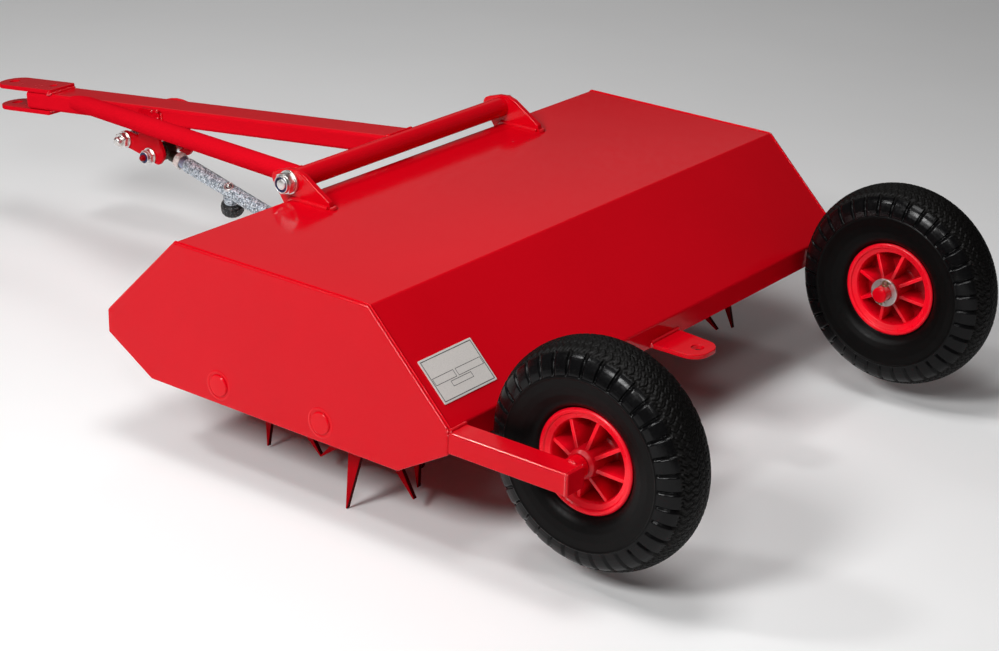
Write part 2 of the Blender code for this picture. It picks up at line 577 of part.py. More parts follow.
def make_strut():
    # lug on the hood's front band: two cheeks and a back plate
    cheek = [(-FOLD_Y - GAP, 66), (-FOLD_Y - 6, 66)] + arc(*STRUT_A, 13.5, 150, 300, 6) + [(-FOLD_Y - GAP - 3.4, 40), (-FOLD_Y - GAP, 44)]
    lug = solid(plate("strut_lug", [cheek, circle(6.4, 12, *STRUT_A)], 5.0, "red", SIDE, (12.0, 0, 0), MACHINE))
    far = solid(plate("strut_lug_far", [cheek, circle(6.4, 12, *STRUT_A)], 5.0, None, SIDE, (-12.0, 0, 0), MACHINE, cut=True))
    back = place("strut_lug_back", box_data("strut_lug_back", 28.0, 4.0, 20.0), None, I3, (0, -FOLD_Y - GAP - 2.0 - 0.01, 55.5),
                 MACHINE, cut=True)
    cut(lug, far, 'UNION')
    cut(lug, back, 'UNION')
    pin = solid(turned("strut_lug_bolt", [(0, 22.0), (5.0, 22.0), (6, 20.5), (6, -20.0), (0, -20.0)], 12, "zinc", AX,
                       (0, *STRUT_A), MACHINE))
    head = place("strut_lug_head", cyl_data("strut_lug_head", 19 / sqrt(3), 7.0, 6), None, AX,
                 (-14.5 - GAP - 3.5, *STRUT_A), MACHINE, cut=True)
    cut(pin, head, 'UNION')

    # inner bar with its rear eye; it stays on the hood's lug
    bar = solid(turned("strut_inner_tube", [(0, 215.0), (6.5, 215.0), (7.5, 214.0), (7.5, 5.0), (0, 5.0)], 16, "galv",
                       STRUTM, A3, STRUT))
    eye = place("inner_eye", cyl_data("inner_eye", 13.3, 17.0, 16), None, AX, A3, STRUT, cut=True)
    eye_bore = place("inner_eye_bore", cyl_data("inner_eye_bore", 6.9, 30.0, 12), None, AX, A3, STRUT, cut=True)
    cut(bar, eye, 'UNION')
    cut(bar, eye_bore)

    # outer tube, closed at the front round the threaded rod, with the index pin's housing through it
    tail, mouth, pin_s, outer_r = 34.0, 257.0, 173.0, 10.25
    tube = solid(turned("strut_outer_tube", [(0, mouth), (outer_r - 0.8, mouth), (outer_r, mouth - 0.8), (outer_r, tail), (0, tail)],
                        16, "galv", STRUTM, A3, STRUT))
    boss = place("pin_boss", cyl_data("pin_boss", 7.3, 24.3, 14), None, PINM,
                 Vector(on_strut(pin_s)) - PIN_DIR * 0.15, STRUT, cut=True)
    housing = place("pin_housing", cyl_data("pin_housing", 11.0, 10.4, 16), None, PINM,
                    Vector(on_strut(pin_s)) + PIN_DIR * 13.8, STRUT, cut=True)
    clear = place("inner_clear", cyl_data("inner_clear", 7.8 / cos(pi / 16), 245.0 - tail + 20, 16), None, STRUTM,
                  on_strut((245.0 + tail - 20) / 2), STRUT, cut=True)
    front_bore = place("rod_bore", cyl_data("rod_bore", 7.3, 40.0, 16), None, STRUTM, on_strut(mouth), STRUT, cut=True)
    pin_bore = place("pin_bore", cyl_data("pin_bore", 4.5, 60.0, 10), None, PINM,
                     Vector(on_strut(pin_s)) + PIN_DIR * 3.0, STRUT, cut=True)
    cut(tube, boss, 'UNION')
    cut(tube, housing, 'UNION')
    cut(tube, clear)
    cut(tube, front_bore)
    cut(tube, pin_bore)

    # index pin and its knob
    turned("index_pin", [(0, 31.0), (3.9, 31.0), (3.9, 9.6), (2.9, 8.6), (0, 8.6)], 10, "zinc", PINM,
           on_strut(pin_s), STRUT)
    turned("index_knob", [(0, 37.5), (14.0, 37.5), (16, 35.5), (16, 22.0), (14.6, 19.6), (4.3, 19.6), (4.3, 31.4), (0, 31.4)],
           18, "black", PINM, on_strut(pin_s), STRUT)

    # threaded rod with its eye, lock nut
    e = Vector((0, *EYE)) - Vector(A3)
    es = -e.y * cos(STRUT_TILT) + e.z * sin(STRUT_TILT)
    rod = solid(turned("strut_rod_end", [(0, es - 9.6), (7, es - 9.6), (7, 241.0), (6, 240.0), (0, 240.0)], 12, "galv", STRUTM,
                       A3, STRUT))
    ring = place("rod_eye", cyl_data("rod_eye", 12.8, 16.0, 18), None, AX, (0, *EYE), STRUT, cut=True)
    bore = place("rod_eye_bore", cyl_data("rod_eye_bore", 8.6 / cos(pi / 18), 30.0, 18), None, AX, (0, *EYE), STRUT, cut=True)
    cut(rod, ring, 'UNION')
    cut(rod, bore)
    plate("strut_lock_nut", [hexagon(20.0, 0.3), circle(7.4, 12)], 9.0, "galv", STRUTM, on_strut(278.0), STRUT)


make_hood()
make_lugs()
make_wheels()
make_rotors()
make_drawbar()
make_strut()

for ob in PARTS.objects:
    if ob.type == 'MESH' and ob.name.startswith(("cross_tube", "side_brace", "strut_", "rotor_", "bearing", "stub_axle", "hub_washer")):
        shade(ob, 35)
bpy.context.view_layer.update()
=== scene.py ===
import bpy, bmesh
import numpy as np
from math import sin, cos, tan, pi, radians, degrees, atan2, sqrt, hypot, floor
from mathutils import Matrix, Vector, noise


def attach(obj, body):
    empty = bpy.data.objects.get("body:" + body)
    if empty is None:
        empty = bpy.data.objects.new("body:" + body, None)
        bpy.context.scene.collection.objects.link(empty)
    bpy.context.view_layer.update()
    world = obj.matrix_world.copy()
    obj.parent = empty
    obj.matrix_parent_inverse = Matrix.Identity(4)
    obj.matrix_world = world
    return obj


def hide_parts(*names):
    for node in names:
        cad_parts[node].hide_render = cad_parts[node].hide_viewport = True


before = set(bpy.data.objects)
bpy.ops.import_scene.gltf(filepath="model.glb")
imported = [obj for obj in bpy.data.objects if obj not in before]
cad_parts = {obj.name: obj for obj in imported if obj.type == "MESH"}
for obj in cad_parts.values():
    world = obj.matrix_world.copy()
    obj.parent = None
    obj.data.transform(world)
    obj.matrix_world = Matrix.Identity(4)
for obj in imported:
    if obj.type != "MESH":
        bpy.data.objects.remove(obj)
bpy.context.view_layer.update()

MM = 0.001
Y0, Z0 = 190.05, 102.485          # hood frame (mm) to the model's frame


def W(p):
    """Hood-frame millimetres to metres in the model's frame."""
    return Vector((p[0] * MM, (p[1] + Y0) * MM, (p[2] + Z0) * MM))


# =============================================================== materials
def new_mat(name):
    m = bpy.data.materials.new(name)
    m.use_nodes = True
    nt = m.node_tree
    return m, nt, nt.nodes["Principled BSDF"]


def N(nt, kind, **kw):
    n = nt.nodes.new(kind)
    for k, v in kw.items():
        setattr(n, k, v)
    return n


def coords(nt):
    return N(nt, "ShaderNodeTexCoord").outputs["Object"]


def noise_tex(nt, co, scale, detail=3.0, rough=0.5, dist=0.0):
    n = N(nt, "ShaderNodeTexNoise")
    n.inputs["Scale"].default_value = scale
    n.inputs["Detail"].default_value = detail
    n.inputs["Roughness"].default_value = rough
    n.inputs["Distortion"].default_value = dist
    nt.links.new(co, n.inputs["Vector"])
    return n


def ramp(nt, fac, stops):
    r = N(nt, "ShaderNodeValToRGB")
    el = r.color_ramp.elements
    while len(el) > 1:
        el.remove(el[-1])
    for k, (pos, col) in enumerate(stops):
        e = el[0] if k == 0 else el.new(pos)
        e.position = pos
        e.color = (*col, 1.0)
    nt.links.new(fac, r.inputs["Fac"])
    return r.outputs["Color"]


def remap(nt, fac, a, b, lo=0.0, hi=1.0):
    m = N(nt, "ShaderNodeMapRange")
    m.inputs["From Min"].default_value = lo
    m.inputs["From Max"].default_value = hi
    m.inputs["To Min"].default_value = a
    m.inputs["To Max"].default_value = b
    nt.links.new(fac, m.inputs["Value"])
    return m.outputs["Result"]


def add_bump(nt, b, heights):
    """heights: list of (socket, strength, distance)."""
    last = None
    for h, s, d in heights:
        bp = N(nt, "ShaderNodeBump")
        bp.inputs["Strength"].default_value = s
        bp.inputs["Distance"].default_value = d
        nt.links.new(h, bp.inputs["Height"])
        if last is not None:
            nt.links.new(last, bp.inputs["Normal"])
        last = bp.outputs["Normal"]
    nt.links.new(last, b.inputs["Normal"])


def mix_color(nt, fac, a, b, mode='MIX'):
    m = N(nt, "ShaderNodeMix", data_type='RGBA', blend_type=mode)
    if isinstance(fac, float):
        m.inputs["Factor"].default_value = fac
    else:
        nt.links.new(fac, m.inputs["Factor"])
    for sock, v in ((m.inputs["A"], a), (m.inputs["B"], b)):
        pass
    ia = [i for i in m.inputs if i.name == "A" and i.type == 'RGBA'][0]
    ib = [i for i in m.inputs if i.name == "B" and i.type == 'RGBA'][0]
    for sock, v in ((ia, a), (ib, b)):
        if isinstance(v, tuple):
            sock.default_value = (*v, 1.0)
        else:
            nt.links.new(v, sock)
    return [o for o in m.outputs if o.type == 'RGBA'][0]


def paint(name, base, dark, peel=0.10, rough=0.27, spec=0.28):
    """Glossy powder coat: orange peel, faint mottling, dust in the roughness."""
    m, nt, b = new_mat(name)
    co = coords(nt)
    big = noise_tex(nt, co, 4.0, 3.0, 0.55)
    fine = noise_tex(nt, co, 700.0, 2.0, 0.6)
    grain = noise_tex(nt, co, 95.0, 5.0, 0.65)
    c1 = ramp(nt, big.outputs["Fac"], [(0.30, dark), (0.72, base)])
    c2 = mix_color(nt, remap(nt, fine.outputs["Fac"], 0.0, 0.10, 0.5, 0.8), c1, (base[0] * 1.05, base[1] + 0.0012, base[2] + 0.002))
    nt.links.new(c2, b.inputs["Base Color"])
    nt.links.new(remap(nt, grain.outputs["Fac"], rough - 0.05, rough + 0.07, 0.3, 0.7), b.inputs["Roughness"])
    b.inputs["Specular IOR Level"].default_value = spec
    peel_n = noise_tex(nt, co, 330.0, 2.0, 0.5)
    wave = noise_tex(nt, co, 14.0, 2.0, 0.5)
    add_bump(nt, b, [(wave.outputs["Fac"], 0.10, 0.0012), (peel_n.outputs["Fac"], peel, 0.0003)])
    return m


RED = paint("red_powder_coat", (0.66, 0.0009, 0.0085), (0.61, 0.0007, 0.0072), rough=0.12, spec=0.19)
# painted shade: a darker copy of the red paint for the end plates and the wheel arms, whose faces turn square to the
# key lamp
RED_END = paint("red_end_plate_painted_shade", (0.60, 0.0010, 0.0085), (0.55, 0.0008, 0.0072), rough=0.15, spec=0.15)
RED_LOW = paint("red_brace", (0.64, 0.0036, 0.0125), (0.59, 0.0030, 0.0108), rough=0.20, spec=0.0)
# painted shade: a darker copy of the red paint for the bracket cheeks, standing for the brace's shadow on them
RED_CHEEK = paint("red_bracket_painted_shade", (0.57, 0.0008, 0.008), (0.52, 0.0007, 0.007), rough=0.20, spec=0.05)
# painted sheen: a lit copy of the red paint, slightly pinker and glossier, for the up-facing faces of the arms and the
# bar
RED_TOP_SHEEN = paint("red_top_painted_sheen", (0.66, 0.0012, 0.0090), (0.61, 0.0009, 0.0076), rough=0.20, spec=0.46)
# painted sheen: the hitch plates' upper faces get a pinker, glossier copy of the paint, standing for the hazy
# reflection on them
RED_HITCH_SHEEN = paint("red_hitch_top_painted_sheen", (0.62, 0.0020, 0.0100), (0.57, 0.0016, 0.0086), rough=0.22, spec=0.70)
# painted highlight: a pinker, very glossy copy of the red paint for rounded edges and weld beads, standing for the pale
# highlight lines along them
RED_HIGHLIGHT_GLOSS = paint("red_edge_painted_highlight", (0.66, 0.0030, 0.0110), (0.61, 0.0020, 0.0090), peel=0.03, rough=0.13, spec=1.0)
RED_IN = paint("red_tine_paint", (0.36, 0.0006, 0.004), (0.22, 0.0005, 0.003), peel=0.2, rough=0.30, spec=0.08)


def tine_paint():
    """Tine plates: a darker red than the hood on the faces, near-black on the edges as painted shade."""
    m = paint("red_tine_painted_shade", (0.46, 0.0006, 0.006), (0.34, 0.0005, 0.004), peel=0.2, rough=0.30, spec=0.02)
    nt = m.node_tree
    b = [n for n in nt.nodes if n.type == 'BSDF_PRINCIPLED'][0]
    src = b.inputs["Base Color"].links[0].from_socket
    geo = N(nt, "ShaderNodeNewGeometry")
    sep = N(nt, "ShaderNodeSeparateXYZ")
    nt.links.new(geo.outputs["True Normal"], sep.inputs["Vector"])
    ab = N(nt, "ShaderNodeMath", operation='ABSOLUTE')
    nt.links.new(sep.outputs["X"], ab.inputs[0])
    # painted shade: the edges, turned away from the x axis, go near-black
    nt.links.new(mix_color(nt, remap(nt, ab.outputs[0], 0.90, 0.0, 0.5, 0.8), src, (0.02, 0.0003, 0.0008)), b.inputs["Base Color"])
    return m


TINES = tine_paint()


def rim_plastic():
    m, nt, b = new_mat("red_rim_plastic")
    co = coords(nt)
    n = noise_tex(nt, co, 30.0, 4.0, 0.6)
    c = ramp(nt, n.outputs["Fac"], [(0.3, (0.84, 0.0014, 0.013)), (0.7, (0.92, 0.002, 0.017))])
    # painted shade: the recesses beside the web are a deeper red than the flanges, as if in the flanges' shadow
    sep = N(nt, "ShaderNodeSeparateXYZ")
    nt.links.new(co, sep.inputs["Vector"])
    ab = N(nt, "ShaderNodeMath", operation='ABSOLUTE')
    nt.links.new(sep.outputs["X"], ab.inputs[0])
    off = N(nt, "ShaderNodeMath", operation='SUBTRACT')
    nt.links.new(ab.outputs[0], off.inputs[0])
    off.inputs[1].default_value = 0.3255
    ab2 = N(nt, "ShaderNodeMath", operation='ABSOLUTE')
    nt.links.new(off.outputs[0], ab2.inputs[0])
    c = mix_color(nt, remap(nt, ab2.outputs[0], 0.72, 0.0, 0.004, 0.020), c, (0.30, 0.0006, 0.004))
    # painted shade on the hub as well
    rel = N(nt, "ShaderNodeVectorMath", operation='SUBTRACT')
    nt.links.new(co, rel.inputs[0])
    rel.inputs[1].default_value = (0.0, 0.58605, 0.156485)
    flat = N(nt, "ShaderNodeVectorMath", operation='MULTIPLY')
    nt.links.new(rel.outputs["Vector"], flat.inputs[0])
    flat.inputs[1].default_value = (0.0, 1.0, 1.0)
    ln = N(nt, "ShaderNodeVectorMath", operation='LENGTH')
    nt.links.new(flat.outputs["Vector"], ln.inputs[0])
    c = mix_color(nt, remap(nt, ln.outputs["Value"], 0.80, 0.0, 0.022, 0.031), c, (0.34, 0.0006, 0.005))
    nt.links.new(c, b.inputs["Base Color"])
    nt.links.new(remap(nt, noise_tex(nt, co, 160.0, 4.0).outputs["Fac"], 0.26, 0.40, 0.3, 0.7), b.inputs["Roughness"])
    b.inputs["Specular IOR Level"].default_value = 0.35
    add_bump(nt, b, [(noise_tex(nt, co, 420.0, 3.0).outputs["Fac"], 0.12, 0.0002)])
    return m


RIM = rim_plastic()


def rubber(name, lo, hi, dusty, rough, spec, crown_dark=False, pit=0.12):
    """Black rubber: mottled, dusty in the grain, finely pitted."""
    m, nt, b = new_mat(name)
    co = coords(nt)
    n = noise_tex(nt, co, 22.0, 5.0, 0.6)
    dust = noise_tex(nt, co, 260.0, 4.0, 0.7)
    c = ramp(nt, n.outputs["Fac"], [(0.25, lo), (0.75, hi)])
    c = mix_color(nt, remap(nt, dust.outputs["Fac"], 0.0, 0.25, 0.55, 0.85), c, dusty)
    rough_out = remap(nt, dust.outputs["Fac"], rough, rough + 0.16, 0.3, 0.7)
    if crown_dark:
        # the crown is rougher and darker than the shoulders
        sep = N(nt, "ShaderNodeSeparateXYZ")
        nt.links.new(co, sep.inputs["Vector"])
        ab = N(nt, "ShaderNodeMath", operation='ABSOLUTE')
        nt.links.new(sep.outputs["X"], ab.inputs[0])
        off = N(nt, "ShaderNodeMath", operation='SUBTRACT')
        nt.links.new(ab.outputs[0], off.inputs[0])
        off.inputs[1].default_value = 0.3255
        ab2 = N(nt, "ShaderNodeMath", operation='ABSOLUTE')
        nt.links.new(off.outputs[0], ab2.inputs[0])
        crown = remap(nt, ab2.outputs[0], 1.0, 0.0, 0.0268, 0.0285)
        c = mix_color(nt, crown, c, (0.0022, 0.0018, 0.0016))
        rr = N(nt, "ShaderNodeMath", operation='MULTIPLY_ADD')
        nt.links.new(crown, rr.inputs[0])
        rr.inputs[1].default_value = 0.30
        nt.links.new(rough_out, rr.inputs[2])
        rough_out = rr.outputs[0]
    nt.links.new(c, b.inputs["Base Color"])
    nt.links.new(rough_out, b.inputs["Roughness"])
    b.inputs["Specular IOR Level"].default_value = spec
    add_bump(nt, b, [(noise_tex(nt, co, 520.0, 4.0, 0.65).outputs["Fac"], pit, 0.00025),
                     (noise_tex(nt, co, 60.0, 3.0).outputs["Fac"], 0.10, 0.0006)])
    return m


RUBBER = rubber("tyre_sidewall", (0.0016, 0.0014, 0.0014), (0.0028, 0.0025, 0.0024), (0.005, 0.004, 0.004), 0.34, 0.10)
RUBBER_T = rubber("tyre_tread", (0.0022, 0.0021, 0.0023), (0.0040, 0.0039, 0.0042), (0.008, 0.0075, 0.008), 0.13, 0.15, True)


def zinc(name="zinc_plate", base=(0.80, 0.80, 0.80), rough=0.24):
    m, nt, b = new_mat(name)
    co = coords(nt)
    n = noise_tex(nt, co, 150.0, 5.0, 0.65)
    s = noise_tex(nt, co, 900.0, 2.0, 0.5)
    warm = tuple(v * k for v, k in zip(base, (0.90, 0.86, 0.80)))
    c = ramp(nt, n.outputs["Fac"], [(0.30, warm), (0.62, base)])
    nt.links.new(c, b.inputs["Base Color"])
    b.inputs["Metallic"].default_value = 1.0
    nt.links.new(remap(nt, n.outputs["Fac"], rough - 0.07, rough + 0.14, 0.3, 0.7), b.inputs["Roughness"])
    add_bump(nt, b, [(s.outputs["Fac"], 0.15, 0.00015)])
    return m


ZINC = zinc(rough=0.30)


def galvanised():
    m, nt, b = new_mat("galvanised")
    co = coords(nt)
    v = N(nt, "ShaderNodeTexVoronoi")
    v.inputs["Scale"].default_value = 560.0
    nt.links.new(co, v.inputs["Vector"])
    n = noise_tex(nt, co, 260.0, 4.0, 0.7)
    sep = N(nt, "ShaderNodeSeparateColor")
    nt.links.new(v.outputs["Color"], sep.inputs["Color"])
    c = ramp(nt, sep.outputs["Red"], [(0.0, (0.07, 0.09, 0.11)), (0.3, (0.27, 0.33, 0.38)), (0.6, (0.54, 0.62, 0.69)), (1.0, (0.84, 0.90, 0.94))])
    c = mix_color(nt, remap(nt, n.outputs["Fac"], 0.0, 0.90, 0.56, 0.64), c, (0.03, 0.03, 0.035))
    nt.links.new(c, b.inputs["Base Color"])
    b.inputs["Metallic"].default_value = 0.35
    nt.links.new(remap(nt, sep.outputs["Green"], 0.34, 0.55), b.inputs["Roughness"])
    add_bump(nt, b, [(sep.outputs["Blue"], 0.15, 0.0002), (n.outputs["Fac"], 0.25, 0.0006)])
    return m


GALV = galvanised()


def steel():
    m, nt, b = new_mat("plain_steel")
    co = coords(nt)
    n = noise_tex(nt, co, 90.0, 5.0, 0.65)
    c = ramp(nt, n.outputs["Fac"], [(0.3, (0.16, 0.15, 0.15)), (0.7, (0.32, 0.32, 0.33))])
    nt.links.new(c, b.inputs["Base Color"])
    b.inputs["Metallic"].default_value = 0.9
    nt.links.new(remap(nt, n.outputs["Fac"], 0.30, 0.50, 0.3, 0.7), b.inputs["Roughness"])
    add_bump(nt, b, [(n.outputs["Fac"], 0.2, 0.0003)])
    return m


STEEL = steel()


def plain(name, base, rough, scale=300.0, bump=0.15, var=0.25, metal=0.0):
    m, nt, b = new_mat(name)
    co = coords(nt)
    n = noise_tex(nt, co, scale, 4.0, 0.6)
    c = ramp(nt, n.outputs["Fac"], [(0.3, tuple(v * (1 - var) for v in base)), (0.7, tuple(min(1, v * (1 + var)) for v in base))])
    nt.links.new(c, b.inputs["Base Color"])
    b.inputs["Metallic"].default_value = metal
    nt.links.new(remap(nt, n.outputs["Fac"], rough - 0.06, rough + 0.08, 0.3, 0.7), b.inputs["Roughness"])
    add_bump(nt, b, [(n.outputs["Fac"], bump, 0.0002)])
    return m


def knob_plastic():
    """Black moulded plastic, faintly speckled where the grain catches dust."""
    m, nt, b = new_mat("black_knob_plastic")
    co = coords(nt)
    n = noise_tex(nt, co, 420.0, 4.0, 0.7)
    c = ramp(nt, n.outputs["Fac"], [(0.0, (0.006, 0.006, 0.007)), (0.56, (0.012, 0.012, 0.013)), (0.68, (0.30, 0.30, 0.31))])
    nt.links.new(c, b.inputs["Base Color"])
    nt.links.new(remap(nt, n.outputs["Fac"], 0.32, 0.50, 0.3, 0.7), b.inputs["Roughness"])
    b.inputs["Specular IOR Level"].default_value = 0.4
    add_bump(nt, b, [(n.outputs["Fac"], 0.3, 0.0003)])
    return m


BLACK = knob_plastic()
BLUE = plain("blue_nylon_ring", (0.012, 0.018, 0.085), 0.38, var=0.15)
PLATE_ALU = plain("plate_aluminium", (0.72, 0.68, 0.65), 0.42, scale=900.0, bump=0.10, var=0.08, metal=0.12)
PLATE_INK = plain("plate_lines", (0.018, 0.018, 0.020), 0.45)
PIN = zinc("pin_steel", (0.26, 0.20, 0.11), 0.36)
ROD = zinc("rod_zinc", (0.36, 0.41, 0.55), 0.38)
NUT_PALE = plain("lock_nut_zinc", (0.74, 0.70, 0.66), 0.34, scale=260.0, bump=0.25, var=0.30, metal=0.15)
# painted shade: a near-black steel for the rod eye and neck, which sit in the shadow between the bracket cheeks
EYE_PAINTED_SHADE = plain("rod_eye_painted_shade", (0.035, 0.030, 0.018), 0.45, scale=200.0, bump=0.25, var=0.5, metal=0.5)


# =============================================================== mesh helpers
def finish_obj(me, name, mat, body, replaces=(), angle=38, wn=True):
    if mat is not None:
        me.materials.clear()
        me.materials.append(mat)
    o = bpy.data.objects.new(name, me)
    bpy.context.scene.collection.objects.link(o)
    me.shade_smooth()
    me.set_sharp_from_angle(angle=radians(angle))
    if wn:
        w = o.modifiers.new("normals", 'WEIGHTED_NORMAL')
        w.keep_sharp = True
    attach(o, body)
    if replaces:
        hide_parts(*replaces)
    return o


def edge_painted_highlight(o, mat, keep=0.985, up=0.2):
    """Second material on the rounded upper edges, the faces that don't lie square to one of the axes: a pinker,
    glossier copy of the paint, painted highlight along the edges.
    """
    me = o.data
    me.materials.append(mat)
    for p in me.polygons:
        if max(abs(c) for c in p.normal) < keep and p.normal.z > up:
            p.material_index = 1


def painted_sheen_top_faces(o, mat, up=0.8):
    """Further material on the faces that look up: a lit copy of the paint, painted sheen on the tops."""
    me = o.data
    me.materials.append(mat)
    k = len(me.materials) - 1
    for p in me.polygons:
        if p.normal.z > up:
            p.material_index = k


def mesh_np(name, verts, faces):
    """verts in hood mm (n,3), faces list of index tuples."""
    me = bpy.data.meshes.new(name)
    v = (np.asarray(verts, float) + np.array([0, Y0, Z0])) * MM
    me.from_pydata([tuple(p) for p in v], [], [tuple(int(i) for i in f) for f in faces])
    me.validate()
    me.update()
    return me


class Geo:
    """Collects parts of one piece in hood mm."""

    def __init__(self):
        self.v, self.f = [], []

    def add(self, verts, faces):
        k = len(self.v)
        self.v.extend([tuple(p) for p in verts])
        self.f.extend([tuple(i + k for i in f) for f in faces])
        return self

    def mesh(self, name):
        return mesh_np(name, self.v, self.f)


def frame_from(zdir, xhint=(0, 0, 1)):
    z = Vector(zdir).normalized()
    x = Vector(xhint) - z * Vector(xhint).dot(z)
    if x.length < 1e-6:
        x = Vector((1, 0, 0)) - z * z.x
    x.normalize()
    y = z.cross(x)
    return Matrix(((x.x, y.x, z.x), (x.y, y.y, z.y), (x.z, y.z, z.z)))


def revolve(prof, rot, pos, n=64, closed=False, rfun=None):
    """prof: (r, h) list running down the outer side. Returns verts, faces in hood mm."""
    pos = Vector(pos)
    vs, fs, rings = [], [], []
    for r, h in prof:
        if r <= 1e-6:
            rings.append([len(vs)])
            vs.append(rot @ Vector((0, 0, h)) + pos)
        else:
            ring = []
            for k in range(n):
                a = 2 * pi * k / n
                rr = rfun(r, h, a) if rfun else r
                ring.append(len(vs))
                vs.append(rot @ Vector((rr * cos(a), rr * sin(a), h)) + pos)
            rings.append(ring)
    pairs = list(zip(rings, rings[1:]))
    if closed:
        pairs.append((rings[-1], rings[0]))
    for a, b in pairs:
        if len(a) == 1 and len(b) == 1:
            continue
        for k in range(n):
            j = (k + 1) % n
            if len(a) == 1:
                fs.append((a[0], b[k], b[j]))
            elif len(b) == 1:
                fs.append((a[k], b[0], a[j]))
            else:
                fs.append((a[k], b[k], b[j], a[j]))
    return vs, fs


def rnd(prof, r=0.8, n=3, closed=False):
    """Rounds the corners of a (r, h) or (u, v) polyline."""
    out = []
    m = len(prof)
    for k, p in enumerate(prof):
        if not closed and (k == 0 or k == m - 1):
            out.append(tuple(p[:2]))
            continue
        rr = p[2] if len(p) > 2 else r
        a, b, c = Vector(prof[k - 1][:2]), Vector(p[:2]), Vector(prof[(k + 1) % m][:2])
        u, w = (a - b), (c - b)
        lu, lw = u.length, w.length
        if rr <= 0 or lu < 1e-6 or lw < 1e-6:
            out.append(tuple(b))
            continue
        u.normalize()
        w.normalize()
        ang = u.angle(w)
        if ang > radians(174):
            out.append(tuple(b))
            continue
        d = min(rr / tan(ang / 2), lu * 0.48, lw * 0.48)
        rad = d * tan(ang / 2)
        cen = b + (u + w).normalized() * (rad / sin(ang / 2))
        p0, p1 = b + u * d, b + w * d
        a0 = atan2(p0.y - cen.y, p0.x - cen.x)
        a1 = atan2(p1.y - cen.y, p1.x - cen.x)
        da = (a1 - a0 + pi) % (2 * pi) - pi
        for i in range(n + 1):
            a_ = a0 + da * i / n
            out.append((cen.x + rad * cos(a_), cen.y + rad * sin(a_)))
    return out


AX = Matrix(((0, 0, 1), (0, 1, 0), (-1, 0, 0)))        # local z along +x
AXM = Matrix(((0, 0, -1), (0, 1, 0), (1, 0, 0)))       # local z along -x
SIDE = Matrix(((0, 0, 1), (1, 0, 0), (0, 1, 0)))       # outline (y, z)
I3 = Matrix.Identity(3)


def curve_plate(name, loops, thick, bev, rot, pos, res=2):
    """Flat plate with rounded edges from 2-D outlines; returns a mesh in model metres."""
    cu = bpy.data.curves.new(name, 'CURVE')
    cu.dimensions = '2D'
    cu.fill_mode = 'BOTH'
    cu.extrude = max(thick / 2 - bev, 0.01) * MM
    cu.bevel_depth = bev * MM
    cu.bevel_resolution = res
    cu.offset = -bev * MM
    for pts in loops:
        sp = cu.splines.new('POLY')
        sp.points.add(len(pts) - 1)
        for p, (u, v) in zip(sp.points, pts):
            p.co = (u * MM, v * MM, 0, 1)
        sp.use_cyclic_u = True
    o = bpy.data.objects.new(name + "_tmp", cu)
    bpy.context.scene.collection.objects.link(o)
    bpy.context.view_layer.update()
    dg = bpy.context.evaluated_depsgraph_get()
    me = bpy.data.meshes.new_from_object(o.evaluated_get(dg))
    me.name = name
    bpy.data.objects.remove(o, do_unlink=True)
    bm = bmesh.new()
    bm.from_mesh(me)
    bmesh.ops.remove_doubles(bm, verts=bm.verts, dist=0.00001)
    m4 = rot.to_4x4()
    m4.translation = W(pos)
    bmesh.ops.transform(bm, matrix=m4, verts=bm.verts)
    bm.to_mesh(me)
    bm.free()
    return me


def box_geo(cx, cy, cz, sx, sy, sz, bev=1.0, seg=3):
    """Rounded box as (verts, faces) in hood mm."""
    bm = bmesh.new()
    bmesh.ops.create_cube(bm, size=1.0, matrix=Matrix.Diagonal((sx, sy, sz, 1.0)))
    if bev > 0:
        bmesh.ops.bevel(bm, geom=list(bm.edges), offset=bev, segments=seg, profile=0.5, affect='EDGES')
    bmesh.ops.translate(bm, vec=Vector((cx, cy, cz)), verts=bm.verts)
    bm.verts.ensure_lookup_table()
    vs = [tuple(v.co) for v in bm.verts]
    fs = [tuple(v.index for v in f.verts) for f in bm.faces]
    bm.free()
    return vs, fs


def sweep(path, rad, n=10, flat=1.0, up=None, cap=True):
    """Tube along path (hood mm); rad is a number or a function of arc length."""
    pts = [Vector(p) for p in path]
    vs, fs = [], []
    s = 0.0
    prev = None
    total = sum((b - a).length for a, b in zip(pts, pts[1:]))
    frame_x = None
    for k, p in enumerate(pts):
        if k:
            s += (p - pts[k - 1]).length
        t = (pts[min(k + 1, len(pts) - 1)] - pts[max(k - 1, 0)]).normalized()
        if frame_x is None:
            h = Vector(up) if up else (Vector((0, 0, 1)) if abs(t.z) < 0.9 else Vector((1, 0, 0)))
            frame_x = (h - t * h.dot(t)).normalized()
        else:
            h = Vector(up) if up else frame_x
            frame_x = (h - t * h.dot(t)).normalized()
        fy = t.cross(frame_x)
        r = rad(s, total) if callable(rad) else rad
        for j in range(n):
            a = 2 * pi * j / n
            vs.append(p + frame_x * (r * flat * cos(a)) + fy * (r * sin(a)))
        if k:
            for j in range(n):
                i = (j + 1) % n
                a0, b0 = (k - 1) * n, k * n
                fs.append((a0 + j, a0 + i, b0 + i, b0 + j))
    if cap:
        fs.append(tuple(range(n - 1, -1, -1)))
        fs.append(tuple(range((len(pts) - 1) * n, len(pts) * n)))
    return vs, fs


def dense(path, step):
    pts = [Vector(p) for p in path]
    out = [pts[0]]
    for a, b in zip(pts, pts[1:]):
        m = max(1, int(round((b - a).length / step)))
        for i in range(1, m + 1):
            out.append(a.lerp(b, i / m))
    return out


